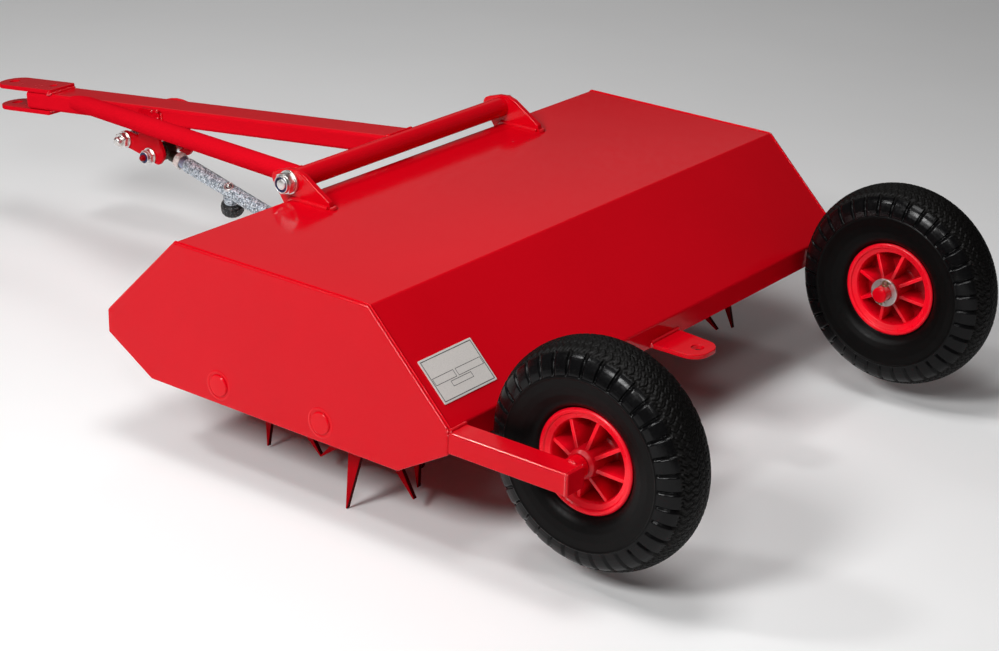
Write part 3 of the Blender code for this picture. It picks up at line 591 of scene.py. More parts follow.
def bead(path, r=2.6, pitch=3.2, seed=0, step=0.8):
    """Weld bead: a ripple-covered tube, a little uneven."""
    pts = dense(path, step)
    moved = []
    for k, p in enumerate(pts):
        n = noise.noise_vector(Vector((p.x * 0.11 + seed, p.y * 0.11, p.z * 0.11)))
        moved.append(p + n * 0.35)

    def rad(s, total):
        e = min(s, total - s)
        end = min(1.0, 0.45 + 0.55 * e / (1.4 * r)) if total > 4 * r else 1.0
        rip = 1.0 + 0.10 * abs(sin(pi * s / pitch)) + 0.07 * noise.noise(Vector((s * 0.15, seed * 3.1, 0)))
        return r * end * rip
    return sweep(moved, rad, 10)


def circle(r, n, cx=0.0, cy=0.0, phase=0.0):
    return [(cx + r * cos(phase + 2 * pi * k / n), cy + r * sin(phase + 2 * pi * k / n)) for k in range(n)]


def arc(cx, cy, r, a0, a1, n):
    return [(cx + r * cos(radians(a0 + (a1 - a0) * k / n)), cy + r * sin(radians(a0 + (a1 - a0) * k / n))) for k in range(n + 1)]


def hex_nut(af, h, bore, rot, pos, n=72, washer=0.0, phase=0.0, ends=(True, True)):
    """Hexagon with chamfered corners round a bore, centred at pos, local z its axis."""
    pos = Vector(pos)
    rc = af / 2 * 0.985
    rings = []
    R = lambda a: af / 2 / cos(((a + pi / 6) % (pi / 3)) - pi / 6)
    levels = []
    levels.append(("bore", -h / 2 + 0.6, bore))
    levels.append(("flat", -h / 2, bore + 0.7))
    levels.append(("flat", -h / 2, rc))
    levels.append(("hexlo", 0, 0))
    levels.append(("hexhi", 0, 0))
    levels.append(("flat", h / 2, rc))
    levels.append(("flat", h / 2, bore + 0.7))
    levels.append(("bore", h / 2 - 0.6, bore))
    vs, fs = [], []
    for kind, z, r in levels:
        for k in range(n):
            a = 2 * pi * k / n
            if kind in ("bore", "flat"):
                rr, zz = r, z
            else:
                rr = R(a)
                drop = (rr - rc) * tan(radians(32))
                if kind == "hexlo":
                    zz = -h / 2 + (drop if ends[0] else 0.05)
                else:
                    zz = h / 2 - (drop if ends[1] else 0.05)
            vs.append(rot @ Vector((rr * cos(a + phase), rr * sin(a + phase), zz)) + pos)
    m = len(levels)
    for i in range(m):
        j = (i + 1) % m
        for k in range(n):
            l = (k + 1) % n
            fs.append((i * n + k, i * n + l, j * n + l, j * n + k))
    return vs, fs


def thread(r, h0, h1, rot, pos, pitch=1.75, n=40, dome=1.2):
    """Threaded bolt end from height h0 to h1 with a small domed tip (rings stand for the helix)."""
    prof = [(0.0, h1), (r * 0.45, h1 - 0.05), (r * 0.80, h1 - dome * 0.45), (r * 0.88, h1 - dome)]
    h = h1 - dome
    up = False
    while h > h0 + pitch * 0.5:
        h -= pitch / 2
        prof.append((r if not up else r * 0.885, h))
        up = not up
    prof.append((r, h0))
    prof.append((0.0, h0))
    return revolve(prof, rot, pos, n)


# =============================================================== hood
TOP_Z, TOP_Y, FOLD_Z, FOLD_Y, BAND_Z, FOOT_Y = 180.0, 145.5, 68.5, 258.5, 41.3, 188.5
HALF_W = 410.0


def hood():
    prof = [(FOLD_Y, BAND_Z), (FOLD_Y, FOLD_Z), (TOP_Y, TOP_Z), (-TOP_Y, TOP_Z), (-FOLD_Y, FOLD_Z), (-FOLD_Y, BAND_Z)]
    inner_off = 3.0

    def offset(points, d):
        out = []
        for k, p in enumerate(points):
            dirs = []
            if k > 0:
                dirs.append((Vector(points[k]) - Vector(points[k - 1])).normalized())
            if k < len(points) - 1:
                dirs.append((Vector(points[k + 1]) - Vector(points[k])).normalized())
            ns = [Vector((-t.y, t.x)) for t in dirs]          # turns left, towards the hood's inside
            nrm = sum(ns, Vector((0, 0))).normalized()
            c = nrm.dot(ns[0])
            out.append(tuple(Vector(p) + nrm * d / c))
        return out
    inn = offset(prof, inner_off)
    outer = rnd(prof, 5.0, 8)
    inner = rnd(inn, 2.5, 8)
    xs = [-406.0, -300, -200, -100, 0, 100, 200, 300, 406.0]
    g = Geo()
    no = len(outer)
    vs = []
    for x in xs:
        vs += [(x, y, z) for y, z in outer] + [(x, y, z) for y, z in inner]
    st = 2 * no
    fs = []
    for i in range(len(xs) - 1):
        a, b = i * st, (i + 1) * st
        for k in range(no - 1):
            fs.append((a + k, b + k, b + k + 1, a + k + 1))
            fs.append((a + no + k + 1, b + no + k + 1, b + no + k, a + no + k))
        fs.append((a, a + no, b + no, b))
        fs.append((a + no - 1, b + no - 1, b + 2 * no - 1, a + 2 * no - 1))
    for i, flip in ((0, False), (len(xs) - 1, True)):
        a = i * st
        for k in range(no - 1):
            q = (a + k, a + k + 1, a + no + k + 1, a + no + k)
            fs.append(q[::-1] if flip else q)
    g.add(vs, fs)
    finish_obj(g.mesh("hood_skin"), "hood_skin", RED, "frame", ("hood_shell",), angle=30)

    octagon = [(TOP_Y, TOP_Z, 5), (-TOP_Y, TOP_Z, 5), (-FOLD_Y, FOLD_Z, 5), (-FOLD_Y, BAND_Z - 1.5, 3),
               (-FOOT_Y, -1.4, 3), (FOOT_Y, -1.6, 3), (FOLD_Y, BAND_Z - 2.4, 3), (FOLD_Y, FOLD_Z, 5)]
    oc = rnd(octagon, 4, 6, closed=True)
    for s, side in ((1, "left"), (-1, "right")):
        holes = [circle(11.6, 32, t * 78.0, 22.5) for t in (-1, 1)]
        me = curve_plate("end_plate_skin_" + side, [oc] + holes, 5.0, 1.9, SIDE, (s * 407.5, 0, 0), res=3)
        # the end plates take the darker painted-shade copy of the red paint
        o = finish_obj(me, "end_plate_skin_" + side, RED_END, "frame", ("end_plate_" + side,), angle=50)
        # the rounded edges of the end plate take the painted-highlight paint
        edge_painted_highlight(o, RED_HIGHLIGHT_GLOSS)
        for t, where in ((-1, "front"), (1, "rear")):
            rot = AX if s > 0 else AXM
            g = Geo()
            prof = rnd([(0, 2.0), (12.2, 2.0, 1.0), (13.4, 0.9, 0.8), (13.5, -0.2), (11.2, -0.3), (11.2, -4.6), (0, -4.6)], 0.5, 3)
            g.add(*revolve(prof, rot, (s * HALF_W, t * 78.0, 22.5), 64))
            finish_obj(g.mesh("cap_%s_%s" % (where, side)), "cap_%s_%s" % (where, side), RED, "frame",
                       ("bearing_cap_%s_%s" % (where, side),), angle=40)
            g = Geo()
            ring = rnd([(14.2, -0.4), (14.8, 0.15), (16.0, 0.5), (17.6, 0.42), (18.6, 0.05), (18.9, -0.4)], 0.4, 2)
            g.add(*revolve(ring, rot, (s * HALF_W, t * 78.0, 22.5), 64))
            finish_obj(g.mesh("cap_ring_%s_%s" % (where, side)), "cap_ring_%s_%s" % (where, side), RED, "frame", (),
                       angle=60)
        # seam between sheet and end plate: a low, smooth weld line inside the corner of plate and sheet
        g = Geo()
        pts = [(s * 405.4, y, z) for y, z in rnd(prof_out(0.15), 5, 6)]
        g.add(*sweep(dense(pts, 3.0), lambda q, tot: 1.25 + 0.12 * noise.noise(Vector((q * 0.06, s, 0))), 8, cap=True))
        finish_obj(g.mesh("seam_" + side), "seam_" + side, RED, "frame", (), angle=60)


def prof_out(d):
    """Hood section moved outwards by d."""
    pts = [(FOLD_Y, BAND_Z), (FOLD_Y, FOLD_Z), (TOP_Y, TOP_Z), (-TOP_Y, TOP_Z), (-FOLD_Y, FOLD_Z), (-FOLD_Y, BAND_Z)]
    c = Vector((0, 90))
    return [tuple(Vector(p) + (Vector(p) - c).normalized() * d) for p in pts]


# blank plate on the rear slant
def blank_plate():
    along = Vector((0, FOLD_Y - TOP_Y, FOLD_Z - TOP_Z)).normalized()
    normal = Vector((0, -along.z, along.y))
    xa = Vector((1, 0, 0))
    c = Vector((348.0, TOP_Y, TOP_Z)) + along * 105.5
    rot = Matrix(((1, 0, 0), (0, along.y, normal.y), (0, along.z, normal.z)))
    outline = rnd([(-45, -27.5, 1.2), (45, -27.5, 1.2), (45, 27.5, 1.2), (-45, 27.5, 1.2)], 1.2, 4, closed=True)
    me = curve_plate("plate_face", [outline], 0.8, 0.2, rot, c + normal * 0.7, res=1)
    finish_obj(me, "plate_face", PLATE_ALU, "frame", ("blank_plate",), angle=30)
    g = Geo()

    def line(u0, v0, u1, v1, w):
        a, b = Vector((u0, v0)), Vector((u1, v1))
        d = (b - a).normalized()
        n = Vector((-d.y, d.x)) * w / 2
        q = [a - n - d * w / 2, b - n + d * w / 2, b + n + d * w / 2, a + n - d * w / 2]
        lo = [rot @ Vector((p.x, p.y, 1.08)) + c for p in q]
        hi = [rot @ Vector((p.x, p.y, 1.16)) + c for p in q]
        g.add(lo + hi, [(3, 2, 1, 0), (4, 5, 6, 7), (0, 1, 5, 4), (1, 2, 6, 5), (2, 3, 7, 6), (3, 0, 4, 7)])

    def rect(u0, v0, u1, v1, w):
        line(u0, v0, u1, v0, w); line(u1, v0, u1, v1, w); line(u1, v1, u0, v1, w); line(u0, v1, u0, v0, w)
    rect(-42.3, -24.8, 42.3, 24.8, 0.9)
    rect(6.0, -3.4, 40.5, 5.0, 0.6)
    rect(-40.5, -3.4, 2.0, 5.0, 0.6)
    rect(-16.0, 7.2, 18.0, 13.4, 0.6)
    finish_obj(g.mesh("plate_lines"), "plate_lines", PLATE_INK, "frame", (), angle=30, wn=False)


# =============================================================== drawbar lugs
PIVOT = (-150.0, 201.0)


def lugs():
    d = Vector((-(FOLD_Y - TOP_Y), FOLD_Z - TOP_Z)).normalized()
    nrm = Vector((d.y, -d.x))
    if nrm.y < 0:
        nrm = -nrm
    foot = Vector((-TOP_Y, TOP_Z)) + d * 16.7
    pts = [(-85.5, TOP_Z, 0), (-87, 188.5, 2.5), (-128, 214, 12), (-140, 217.5, 6), (-154, 216.5, 7), (-185.5, 207, 10),
           (foot.x, foot.y, 1), (-TOP_Y - 0.8, TOP_Z + 0.2, 1)]
    ol = rnd(pts, 2, 5, closed=True)
    for s, side in ((1, "left"), (-1, "right")):
        me = curve_plate("lug_" + side, [ol, circle(8.5, 24, *PIVOT)], 8.0, 1.2, SIDE, (s * 206.0, 0, 0), res=2)
        finish_obj(me, "lug_" + side, RED, "frame", ("pivot_lug_" + side,), angle=50)
        # fillet welds along both faces and round the ends
        g = Geo()
        for k, dx in enumerate((-4.6, 4.6)):
            x = s * 206.0 + dx
            path = [(x, foot.x - 1, foot.y + 0.6), (x, -TOP_Y - 1.0, TOP_Z + 0.8), (x, -TOP_Y + 3, TOP_Z + 0.9), (x, -88, TOP_Z + 0.9)]
            g.add(*sweep(dense(path, 2.0), lambda q, tot: 3.1 + 0.25 * noise.noise(Vector((q * 0.09, 3.0 * s, k))), 12))
        for (y, z), r in (((-84.8, TOP_Z + 0.8), 2.9),):
            g.add(*bead([(s * 206.0 - 5, y, z), (s * 206.0 - 2, y + 1.6, z), (s * 206.0 + 2, y + 1.6, z), (s * 206.0 + 5, y, z)], r, 2.6, seed=4 + s))
        g.add(*bead([(s * 206.0 - 5, foot.x - 0.5, foot.y), (s * 206.0, foot.x - 2.2, foot.y - 0.8), (s * 206.0 + 5, foot.x - 0.5, foot.y)], 2.6, 2.6, seed=9 + s))
        finish_obj(g.mesh("lug_weld_" + side), "lug_weld_" + side, RED_HIGHLIGHT_GLOSS, "frame", (), angle=70, wn=False)
    # pivot bolt, washer, nut with its nylon ring
    g = Geo()
    g.add(*revolve(rnd([(0, 212.0), (8, 212.0), (8, -212.0), (0, -212.0)], 0.3, 2), AX, (0, *PIVOT), 40))
    g.add(*thread(7.9, 211.0, 225.9, AX, (0, *PIVOT), 2.0, 48, 1.6))
    v, f = hex_nut(24.0, 10.0, 0.5, AX, (-215.3, *PIVOT), phase=0.3)
    g.add(v, f)
    finish_obj(g.mesh("pivot_rod"), "pivot_rod", ZINC, "frame", ("pivot_bolt",), angle=32)
    g = Geo()
    g.add(*revolve(rnd([(8.4, 1.3), (15, 1.3), (15, -1.3), (8.4, -1.3)], 0.5, 3, closed=True), AX, (211.5, *PIVOT), 64, closed=True))
    finish_obj(g.mesh("pivot_ring"), "pivot_ring", ZINC, "frame", ("pivot_washer",), angle=40)
    g = Geo()
    g.add(*hex_nut(24.0, 9.0, 8.1, AX, (217.4, *PIVOT), phase=0.22, ends=(True, False)))
    g.add(*revolve(rnd([(9.6, 2.2), (10.9, 2.0, 0.8), (11.6, -1.5), (11.6, -2.4), (9.2, -2.4), (9.2, 1.4)], 0.5, 3, closed=True), AX,
                   (223.3, *PIVOT), 64, closed=True))
    finish_obj(g.mesh("pivot_hex"), "pivot_hex", ZINC, "frame", ("pivot_nut",), angle=32)
    g = Geo()
    g.add(*revolve(rnd([(8.05, 1.9), (9.5, 1.9), (9.5, -2.0), (8.05, -2.0)], 0.4, 3, closed=True), AX, (223.3, *PIVOT), 48, closed=True))
    finish_obj(g.mesh("pivot_nylon"), "pivot_nylon", BLUE, "frame", (), angle=40)


# =============================================================== wheels
WX, WY, WZ = 325.5, 396.0, 54.0


def smoothstep(e0, e1, x):
    t = np.clip((x - e0) / (e1 - e0), 0, 1)
    return t * t * (3 - 2 * t)


def tyre(side, s):
    # half section from the bead to the crown, (r, h)
    half = [(51.3, 13.5), (52.2, 21.8), (54.5, 23.2), (60.6, 24.8), (62.2, 26.0), (63.0, 28.2), (65.5, 31.2), (70.0, 34.3),
            (77.0, 36.9), (86.0, 38.5), (94.5, 38.9), (95.6, 39.0), (96.3, 39.75), (97.2, 39.75), (98.0, 38.95), (101.0, 38.5),
            (106.0, 37.2), (110.5, 35.3), (114.5, 33.2), (117.6, 30.9), (119.6, 28.8)]
    # finer sampling by linear subdivision
    def refine(pts, step):
        out = [pts[0]]
        for a, b in zip(pts, pts[1:]):
            L = hypot(b[0] - a[0], b[1] - a[1])
            m = max(1, int(round(L / step)))
            for i in range(1, m + 1):
                out.append((a[0] + (b[0] - a[0]) * i / m, a[1] + (b[1] - a[1]) * i / m))
        return out
    half = refine(half[:8], 6.0)[:-1] + refine(half[7:], 1.35)
    crown_h = np.linspace(28.8, -28.8, 58)[1:-1]
    crown = [(130.0 - 10.4 * (abs(h) / 28.8) ** 2.3, h) for h in crown_h]
    prof = half + crown + [(r, -h) for r, h in reversed(half)]
    prof = np.array(prof)
    inner = np.array([(60, -14), (80, -30), (112, -24), (120, 0), (112, 24), (80, 30), (60, 14)], float)
    n = 1008
    th = np.arange(n) * 2 * pi / n
    R = np.repeat(prof[:, 0][:, None], n, 1)
    Hh = np.repeat(prof[:, 1][:, None], n, 1)
    T = np.repeat(th[None, :], len(prof), 0)
    lugs_n = 36
    # shoulder lugs: grooves between r 98 and the crown's edge
    # each groove starts with a sharp step and its floor rises smoothly to the next lug
    ph = (-T / (2 * pi) * lugs_n + 0.25 * (Hh > 0)) % 1.0
    groove = smoothstep(0.0, 0.045, ph) * (1 - smoothstep(0.05, 0.31, ph))
    zone = smoothstep(97.6, 100.6, R) * smoothstep(24.0, 26.5, np.abs(Hh))
    depth = 3.3 * groove * zone
    # step at the outer end of each lug
    depth += 0.45 * smoothstep(99.5, 98.4, R) * smoothstep(97.9, 98.6, R) * (1 - groove)
    # crown blocks: zigzag rings and zigzag cross cuts
    tri = lambda x: np.abs((x % 1.0) * 2 - 1) * 2 - 1
    cz = smoothstep(27.0, 25.5, np.abs(Hh))
    rows = 84
    g2 = np.zeros_like(R)
    for c in (-25.6, -15.2, -5.1, 5.1, 15.2, 25.6):
        w = np.abs(Hh - (c + 1.9 * tri(T / (2 * pi) * rows + 0.5 * (c > 0))))
        g2 = np.maximum(g2, 1 - smoothstep(0.40, 1.0, w))
    row_i = np.floor((Hh + 25.6) / 10.24)
    x = T / (2 * pi) * rows + 0.5 * (row_i % 2) + 0.22 * tri(Hh / 10.24)
    dd = np.abs((x % 1.0) - 0.5) * (2 * pi * 130 / rows)
    g2 = np.maximum(g2, 1 - smoothstep(0.40, 1.0, dd))
    x2 = T / (2 * pi) * rows * 2 + 0.3 * tri(Hh / 5.1)
    dd2 = np.abs((x2 % 1.0) - 0.5) * (2 * pi * 130 / rows / 2)
    g2 = np.maximum(g2, 0.5 * (1 - smoothstep(0.30, 0.85, dd2)))
    depth = np.maximum(depth, 1.4 * g2 * cz * (R > 100))
    # normals of the section
    tv = np.gradient(prof, axis=0)
    nr, nh = -tv[:, 1], tv[:, 0]
    ln = np.hypot(nr, nh)
    nr, nh = nr / ln, nh / ln
    flip = np.sign((nr * (prof[:, 0] - 85) + nh * prof[:, 1]))
    flip[flip == 0] = 1
    nr, nh = nr * flip, nh * flip
    Rr = R - depth * nr[:, None]
    Hr = Hh - depth * nh[:, None]
    Ri = np.repeat(inner[:, 0][:, None], n, 1)
    Hi = np.repeat(inner[:, 1][:, None], n, 1)
    Rr = np.concatenate([Rr, Ri])
    Hr = np.concatenate([Hr, Hi])
    T = np.repeat(th[None, :], len(Rr), 0)
    X = Hr + s * WX
    Y = WY + Rr * np.cos(T)
    Z = WZ + Rr * np.sin(T)
    m = len(Rr)
    V = np.stack([X.ravel(), Y.ravel(), Z.ravel()], 1)
    idx = np.arange(m * n).reshape(m, n)
    nxt = np.roll(idx, -1, axis=1)
    down, dn = np.roll(idx, -1, axis=0), np.roll(nxt, -1, axis=0)
    F = np.stack([idx, nxt, dn, down], -1).reshape(-1, 4)
    me = bpy.data.meshes.new("tyre_skin_" + side)
    Vm = (V + np.array([0, Y0, Z0])) * MM
    me.vertices.add(len(Vm))
    me.vertices.foreach_set("co", Vm.ravel())
    me.loops.add(F.size)
    me.loops.foreach_set("vertex_index", F.ravel().astype(np.int32))
    me.polygons.add(len(F))
    me.polygons.foreach_set("loop_start", (np.arange(len(F)) * 4).astype(np.int32))
    me.polygons.foreach_set("loop_total", np.full(len(F), 4, np.int32))
    me.update(calc_edges=True)
    me.validate()
    bm = bmesh.new()
    bm.from_mesh(me)
    bmesh.ops.recalc_face_normals(bm, faces=bm.faces)
    bm.to_mesh(me)
    bm.free()
    o = finish_obj(me, "tyre_skin_" + side, RUBBER, "wheel_" + side, ("tyre_" + side,), angle=60, wn=False)
    me.materials.append(RUBBER_T)
    cen = np.zeros(len(me.polygons) * 3)
    me.polygons.foreach_get("center", cen)
    cen = cen.reshape(-1, 3)
    rad = np.hypot(cen[:, 1] - (WY + Y0) * MM, cen[:, 2] - (WZ + Z0) * MM)
    me.polygons.foreach_set("material_index", (rad > 0.0976).astype(np.int32))
    me.update()


def rim(side, s):
    pos = (s * WX, WY, WZ)
    g = Geo()
    top = [(10.9, 37.4), (13.6, 37.4, 0.8), (16.9, 34.0, 3.0), (18.0, 24.0, 0), (18.8, 6.5, 3.0), (21.5, 3.6, 2.5), (40.5, 2.2, 3.0),
           (44.8, 5.5, 3.0), (46.8, 20.8, 1.0), (48.0, 23.4, 1.0), (53.4, 25.4, 1.2), (54.6, 27.4, 1.4), (57.6, 28.5, 2.0),
           (60.2, 26.4, 1.6), (59.8, 24.6, 0.5), (57.6, 23.8, 0.6), (52.6, 22.6, 1.0), (51.2, 19.0, 1.0), (51.0, 8.0, 0)]
    low = [(p[0], -p[1], *p[2:]) for p in reversed(top)]
    # the web lies a little off the middle, towards -x
    shift = {18.8: 6.0, 21.5: 6.0, 40.5: 6.0, 44.8: 6.0}
    top = [(p[0], p[1] - shift.get(p[0], 0.0), *p[2:]) for p in top]
    low = [(p[0], p[1] - shift.get(p[0], 0.0), *p[2:]) for p in low]
    g.add(*revolve(rnd(top + low, 0.5, 4, closed=True), AX, pos, 128, closed=True))
    # eight ribs on each side of the web
    for k in range(8):
        a = radians((13.0 if s > 0 else 14.7) + 45 * k)
        for sg in (1, -1):
            t_hub, t_top = 2.6, 2.2
            base = -4.0 if sg > 0 else 9.5
            corners = []
            for r, h in ((17.0, 30.5), (47.2, 21.0), (45.5, base), (17.5, base)):
                for tt in (1, -1):
                    th = tt * (t_top if h > 12 else t_hub)
                    corners.append((r, th, sg * h))
            vs = []
            for r, t, h in corners:
                y = r * sin(a) + t * cos(a)
                z = r * cos(a) - t * sin(a)
                vs.append(Vector((pos[0] + h, pos[1] + y, pos[2] + z)))
            bm = bmesh.new()
            bv = [bm.verts.new(v) for v in vs]
            for q in ((0, 2, 4, 6), (1, 7, 5, 3), (0, 1, 3, 2), (2, 3, 5, 4), (4, 5, 7, 6), (6, 7, 1, 0)):
                bm.faces.new([bv[i] for i in q])
            bmesh.ops.recalc_face_normals(bm, faces=bm.faces)
            ed = [e for e in bm.edges]
            bmesh.ops.bevel(bm, geom=ed, offset=0.8, segments=3, profile=0.5, affect='EDGES')
            bm.verts.ensure_lookup_table()
            bm.verts.index_update()
            g.add([tuple(v.co) for v in bm.verts], [tuple(v.index for v in f.verts) for f in bm.faces])
            bm.free()
    finish_obj(g.mesh("rim_skin_" + side), "rim_skin_" + side, RIM, "wheel_" + side, ("rim_" + side,), angle=38)


def axle(side, s):
    rot = AX if s > 0 else AXM
    g = Geo()
    prof = [(0, 54.2), (12.6, 54.2), (13, 53.8), (13, 39.0, 0.6), (12.4, 38.2, 0.4), (10, 38.2), (10, -53.9, 2.6), (0, -53.9)]
    g.add(*revolve(rnd(prof, 0.4, 3), rot, (s * WX, WY, WZ), 64))
    finish_obj(g.mesh("axle_skin_" + side), "axle_skin_" + side, RED, "frame", ("stub_axle_" + side,), angle=40)
    g = Geo()
    g.add(*revolve(rnd([(10.4, 1.5), (18, 1.5), (18, -1.5), (10.4, -1.5)], 0.5, 3, closed=True), AX, (s * (WX - 39.3), WY, WZ), 72, closed=True))
    finish_obj(g.mesh("washer_skin_" + side), "washer_skin_" + side, ZINC, "frame", ("hub_washer_" + side,), angle=40)
    # split pin: two legs through the axle, an eye above it
    x = s * (WX - 45.4)
    path = [(x, WY + 0.6, WZ - 14.5), (x, WY + 0.3, WZ - 10), (x, WY, WZ + 10.3)]
    path += [(x, WY + 3.4 - 3.4 * cos(radians(a)), WZ + 14.2 + 3.4 * sin(radians(a))) for a in range(-20, 331, 14)]
    g = Geo()
    g.add(*sweep(path, 1.15, 10, up=(1, 0, 0)))
    g.add(*sweep([(x, WY - 0.9, WZ - 10.0), (x, WY - 1.6, WZ - 12.5), (x, WY - 4.4, WZ - 14.2)], 1.0, 10, up=(1, 0, 0)))
    finish_obj(g.mesh("cotter_" + side), "cotter_" + side, PIN, "frame", ("split_pin_" + side,), angle=60, wn=False)


def arms():
    for s, side in ((1, "left"), (-1, "right")):
        g = Geo()
        y0, y1 = FOLD_Y + 0.1, 415.5
        g.add(*box_geo(s * 395.0, (y0 + y1) / 2, WZ, 30.0, y1 - y0, 25.6, 1.9, 4))
        # the arms take the darker painted-shade copy of the red paint
        o = finish_obj(g.mesh("arm_skin_" + side), "arm_skin_" + side, RED_END, "frame", ("wheel_arm_" + side,), angle=38)
        # the rounded edges of the arm take the painted-highlight paint
        edge_painted_highlight(o, RED_HIGHLIGHT_GLOSS)
        # the arm's top takes the painted-sheen copy of the paint
        painted_sheen_top_faces(o, RED_TOP_SHEEN, 0.985)
        g = Geo()
        x0, x1, z0, z1 = s * 395 - 15, s * 395 + 15, WZ - 12.8, WZ + 12.8
        # root weld on the band, over the arm's top and inner side
        g.add(*bead([(x0 - 0.6, y0 + 0.8, z0 + 1), (x0 - 0.6, y0 + 0.9, z1 - 1), (x0 + 1, y0 + 0.9, z1 + 0.5), (x1 - 1, y0 + 0.9, z1 + 0.5)], 2.2, 3.2, seed=11 + s))
        for q, r in (((409.6, 255.8, 71.2), 1.4), ((410.2, 258.9, 68.2), 1.7), ((409.4, 262.2, 68.4), 1.3), ((410.3, 259.2, 63.8), 1.4)):
            g.add(*revolve([(r * sin(t * pi / 8), r * cos(t * pi / 8)) for t in range(9)], I3, (s * q[0], q[1], q[2]), 16))
        # end cap seam: low ground weld round the end
        c = 1.2
        loop = [(x0 + c, z1 - 0.2), (x1 - c, z1 - 0.2), (x1 - 0.2, z1 - c), (x1 - 0.2, z0 + c), (x1 - c, z0 + 0.2), (x0 + c, z0 + 0.2), (x0 + 0.2, z0 + c), (x0 + 0.2, z1 - c)]
        loop.append(loop[0])
        g.add(*sweep(dense([(u, y1 - 3.2, v) for u, v in loop], 0.5),
                     lambda q, tot: 0.95 + 0.22 * noise.noise(Vector((q * 0.25, 5.0 * s, 0))) + 0.42 * abs(sin(q * 1.05)), 10))
        finish_obj(g.mesh("arm_weld_" + side), "arm_weld_" + side, RED_HIGHLIGHT_GLOSS, "frame", (), angle=70, wn=False)
        # small weld spot on the arm's top near the axle
        g = Geo()
        xs = s * 395 - s * 11
        g.add(*bead([(xs, 397, z1 + 0.1), (xs + s * 1.0, 403, z1 + 0.3), (xs, 408, z1 + 0.1)], 1.9, 2.2, seed=21 * s))
        finish_obj(g.mesh("arm_spot_" + side), "arm_spot_" + side, RED_HIGHLIGHT_GLOSS, "frame", (), angle=70, wn=False)


def tow_lug():
    pts = [(-30, FOLD_Y + 0.1, 0), (28.5, FOLD_Y + 0.1, 0), (28.5, 326, 22), (-22, 326, 22)]
    me = curve_plate("tow_lug_skin", [rnd(pts, 0, 12, closed=True), circle(7.5, 32, 1.4, 306.8)], 6.0, 0.9, I3, (0, 0, 44.0), res=2)
    finish_obj(me, "tow_lug_skin", RED, "frame", ("tow_lug",), angle=50)
    g = Geo()
    g.add(*sweep(dense([(-29.5, FOLD_Y + 1.0, 48.0), (28.2, FOLD_Y + 1.0, 48.0)], 1.5),
                 lambda q, tot: 2.2 + 0.2 * noise.noise(Vector((q * 0.12, 31.0, 0))), 12))
    g.add(*bead([(-30.0, FOLD_Y + 1.0, 47.6), (-30.6, FOLD_Y + 1.0, 43), (-29.5, FOLD_Y + 1.0, 40.5)], 1.8, 3.2, seed=32))
    g.add(*bead([(28.0, FOLD_Y + 1.4, 47.8), (29.2, FOLD_Y + 1.6, 46.0), (29.0, FOLD_Y + 1.2, 42.5)], 2.0, 3.2, seed=33))
    g.add(*revolve([(1.7 * sin(t * pi / 8), 1.7 * cos(t * pi / 8)) for t in range(9)], I3, (28.6, FOLD_Y + 3.2, 44.6), 16))
    finish_obj(g.mesh("tow_lug_weld"), "tow_lug_weld", RED_HIGHLIGHT_GLOSS, "frame", (), angle=70, wn=False)


# =============================================================== drawbar
SLOPE = atan2(0.1165, 1.0)


def bar_point(y, off=0.0):
    z = 113.3 + tan(SLOPE) * (y + 900.0)
    return Vector((0, y - off * sin(SLOPE), z + off * cos(SLOPE)))


BARM = Matrix(((1, 0, 0), (0, sin(SLOPE), cos(SLOPE)), (0, -cos(SLOPE), sin(SLOPE))))
BARP = Matrix(((1, 0, 0), (0, cos(SLOPE), -sin(SLOPE)), (0, sin(SLOPE), cos(SLOPE))))


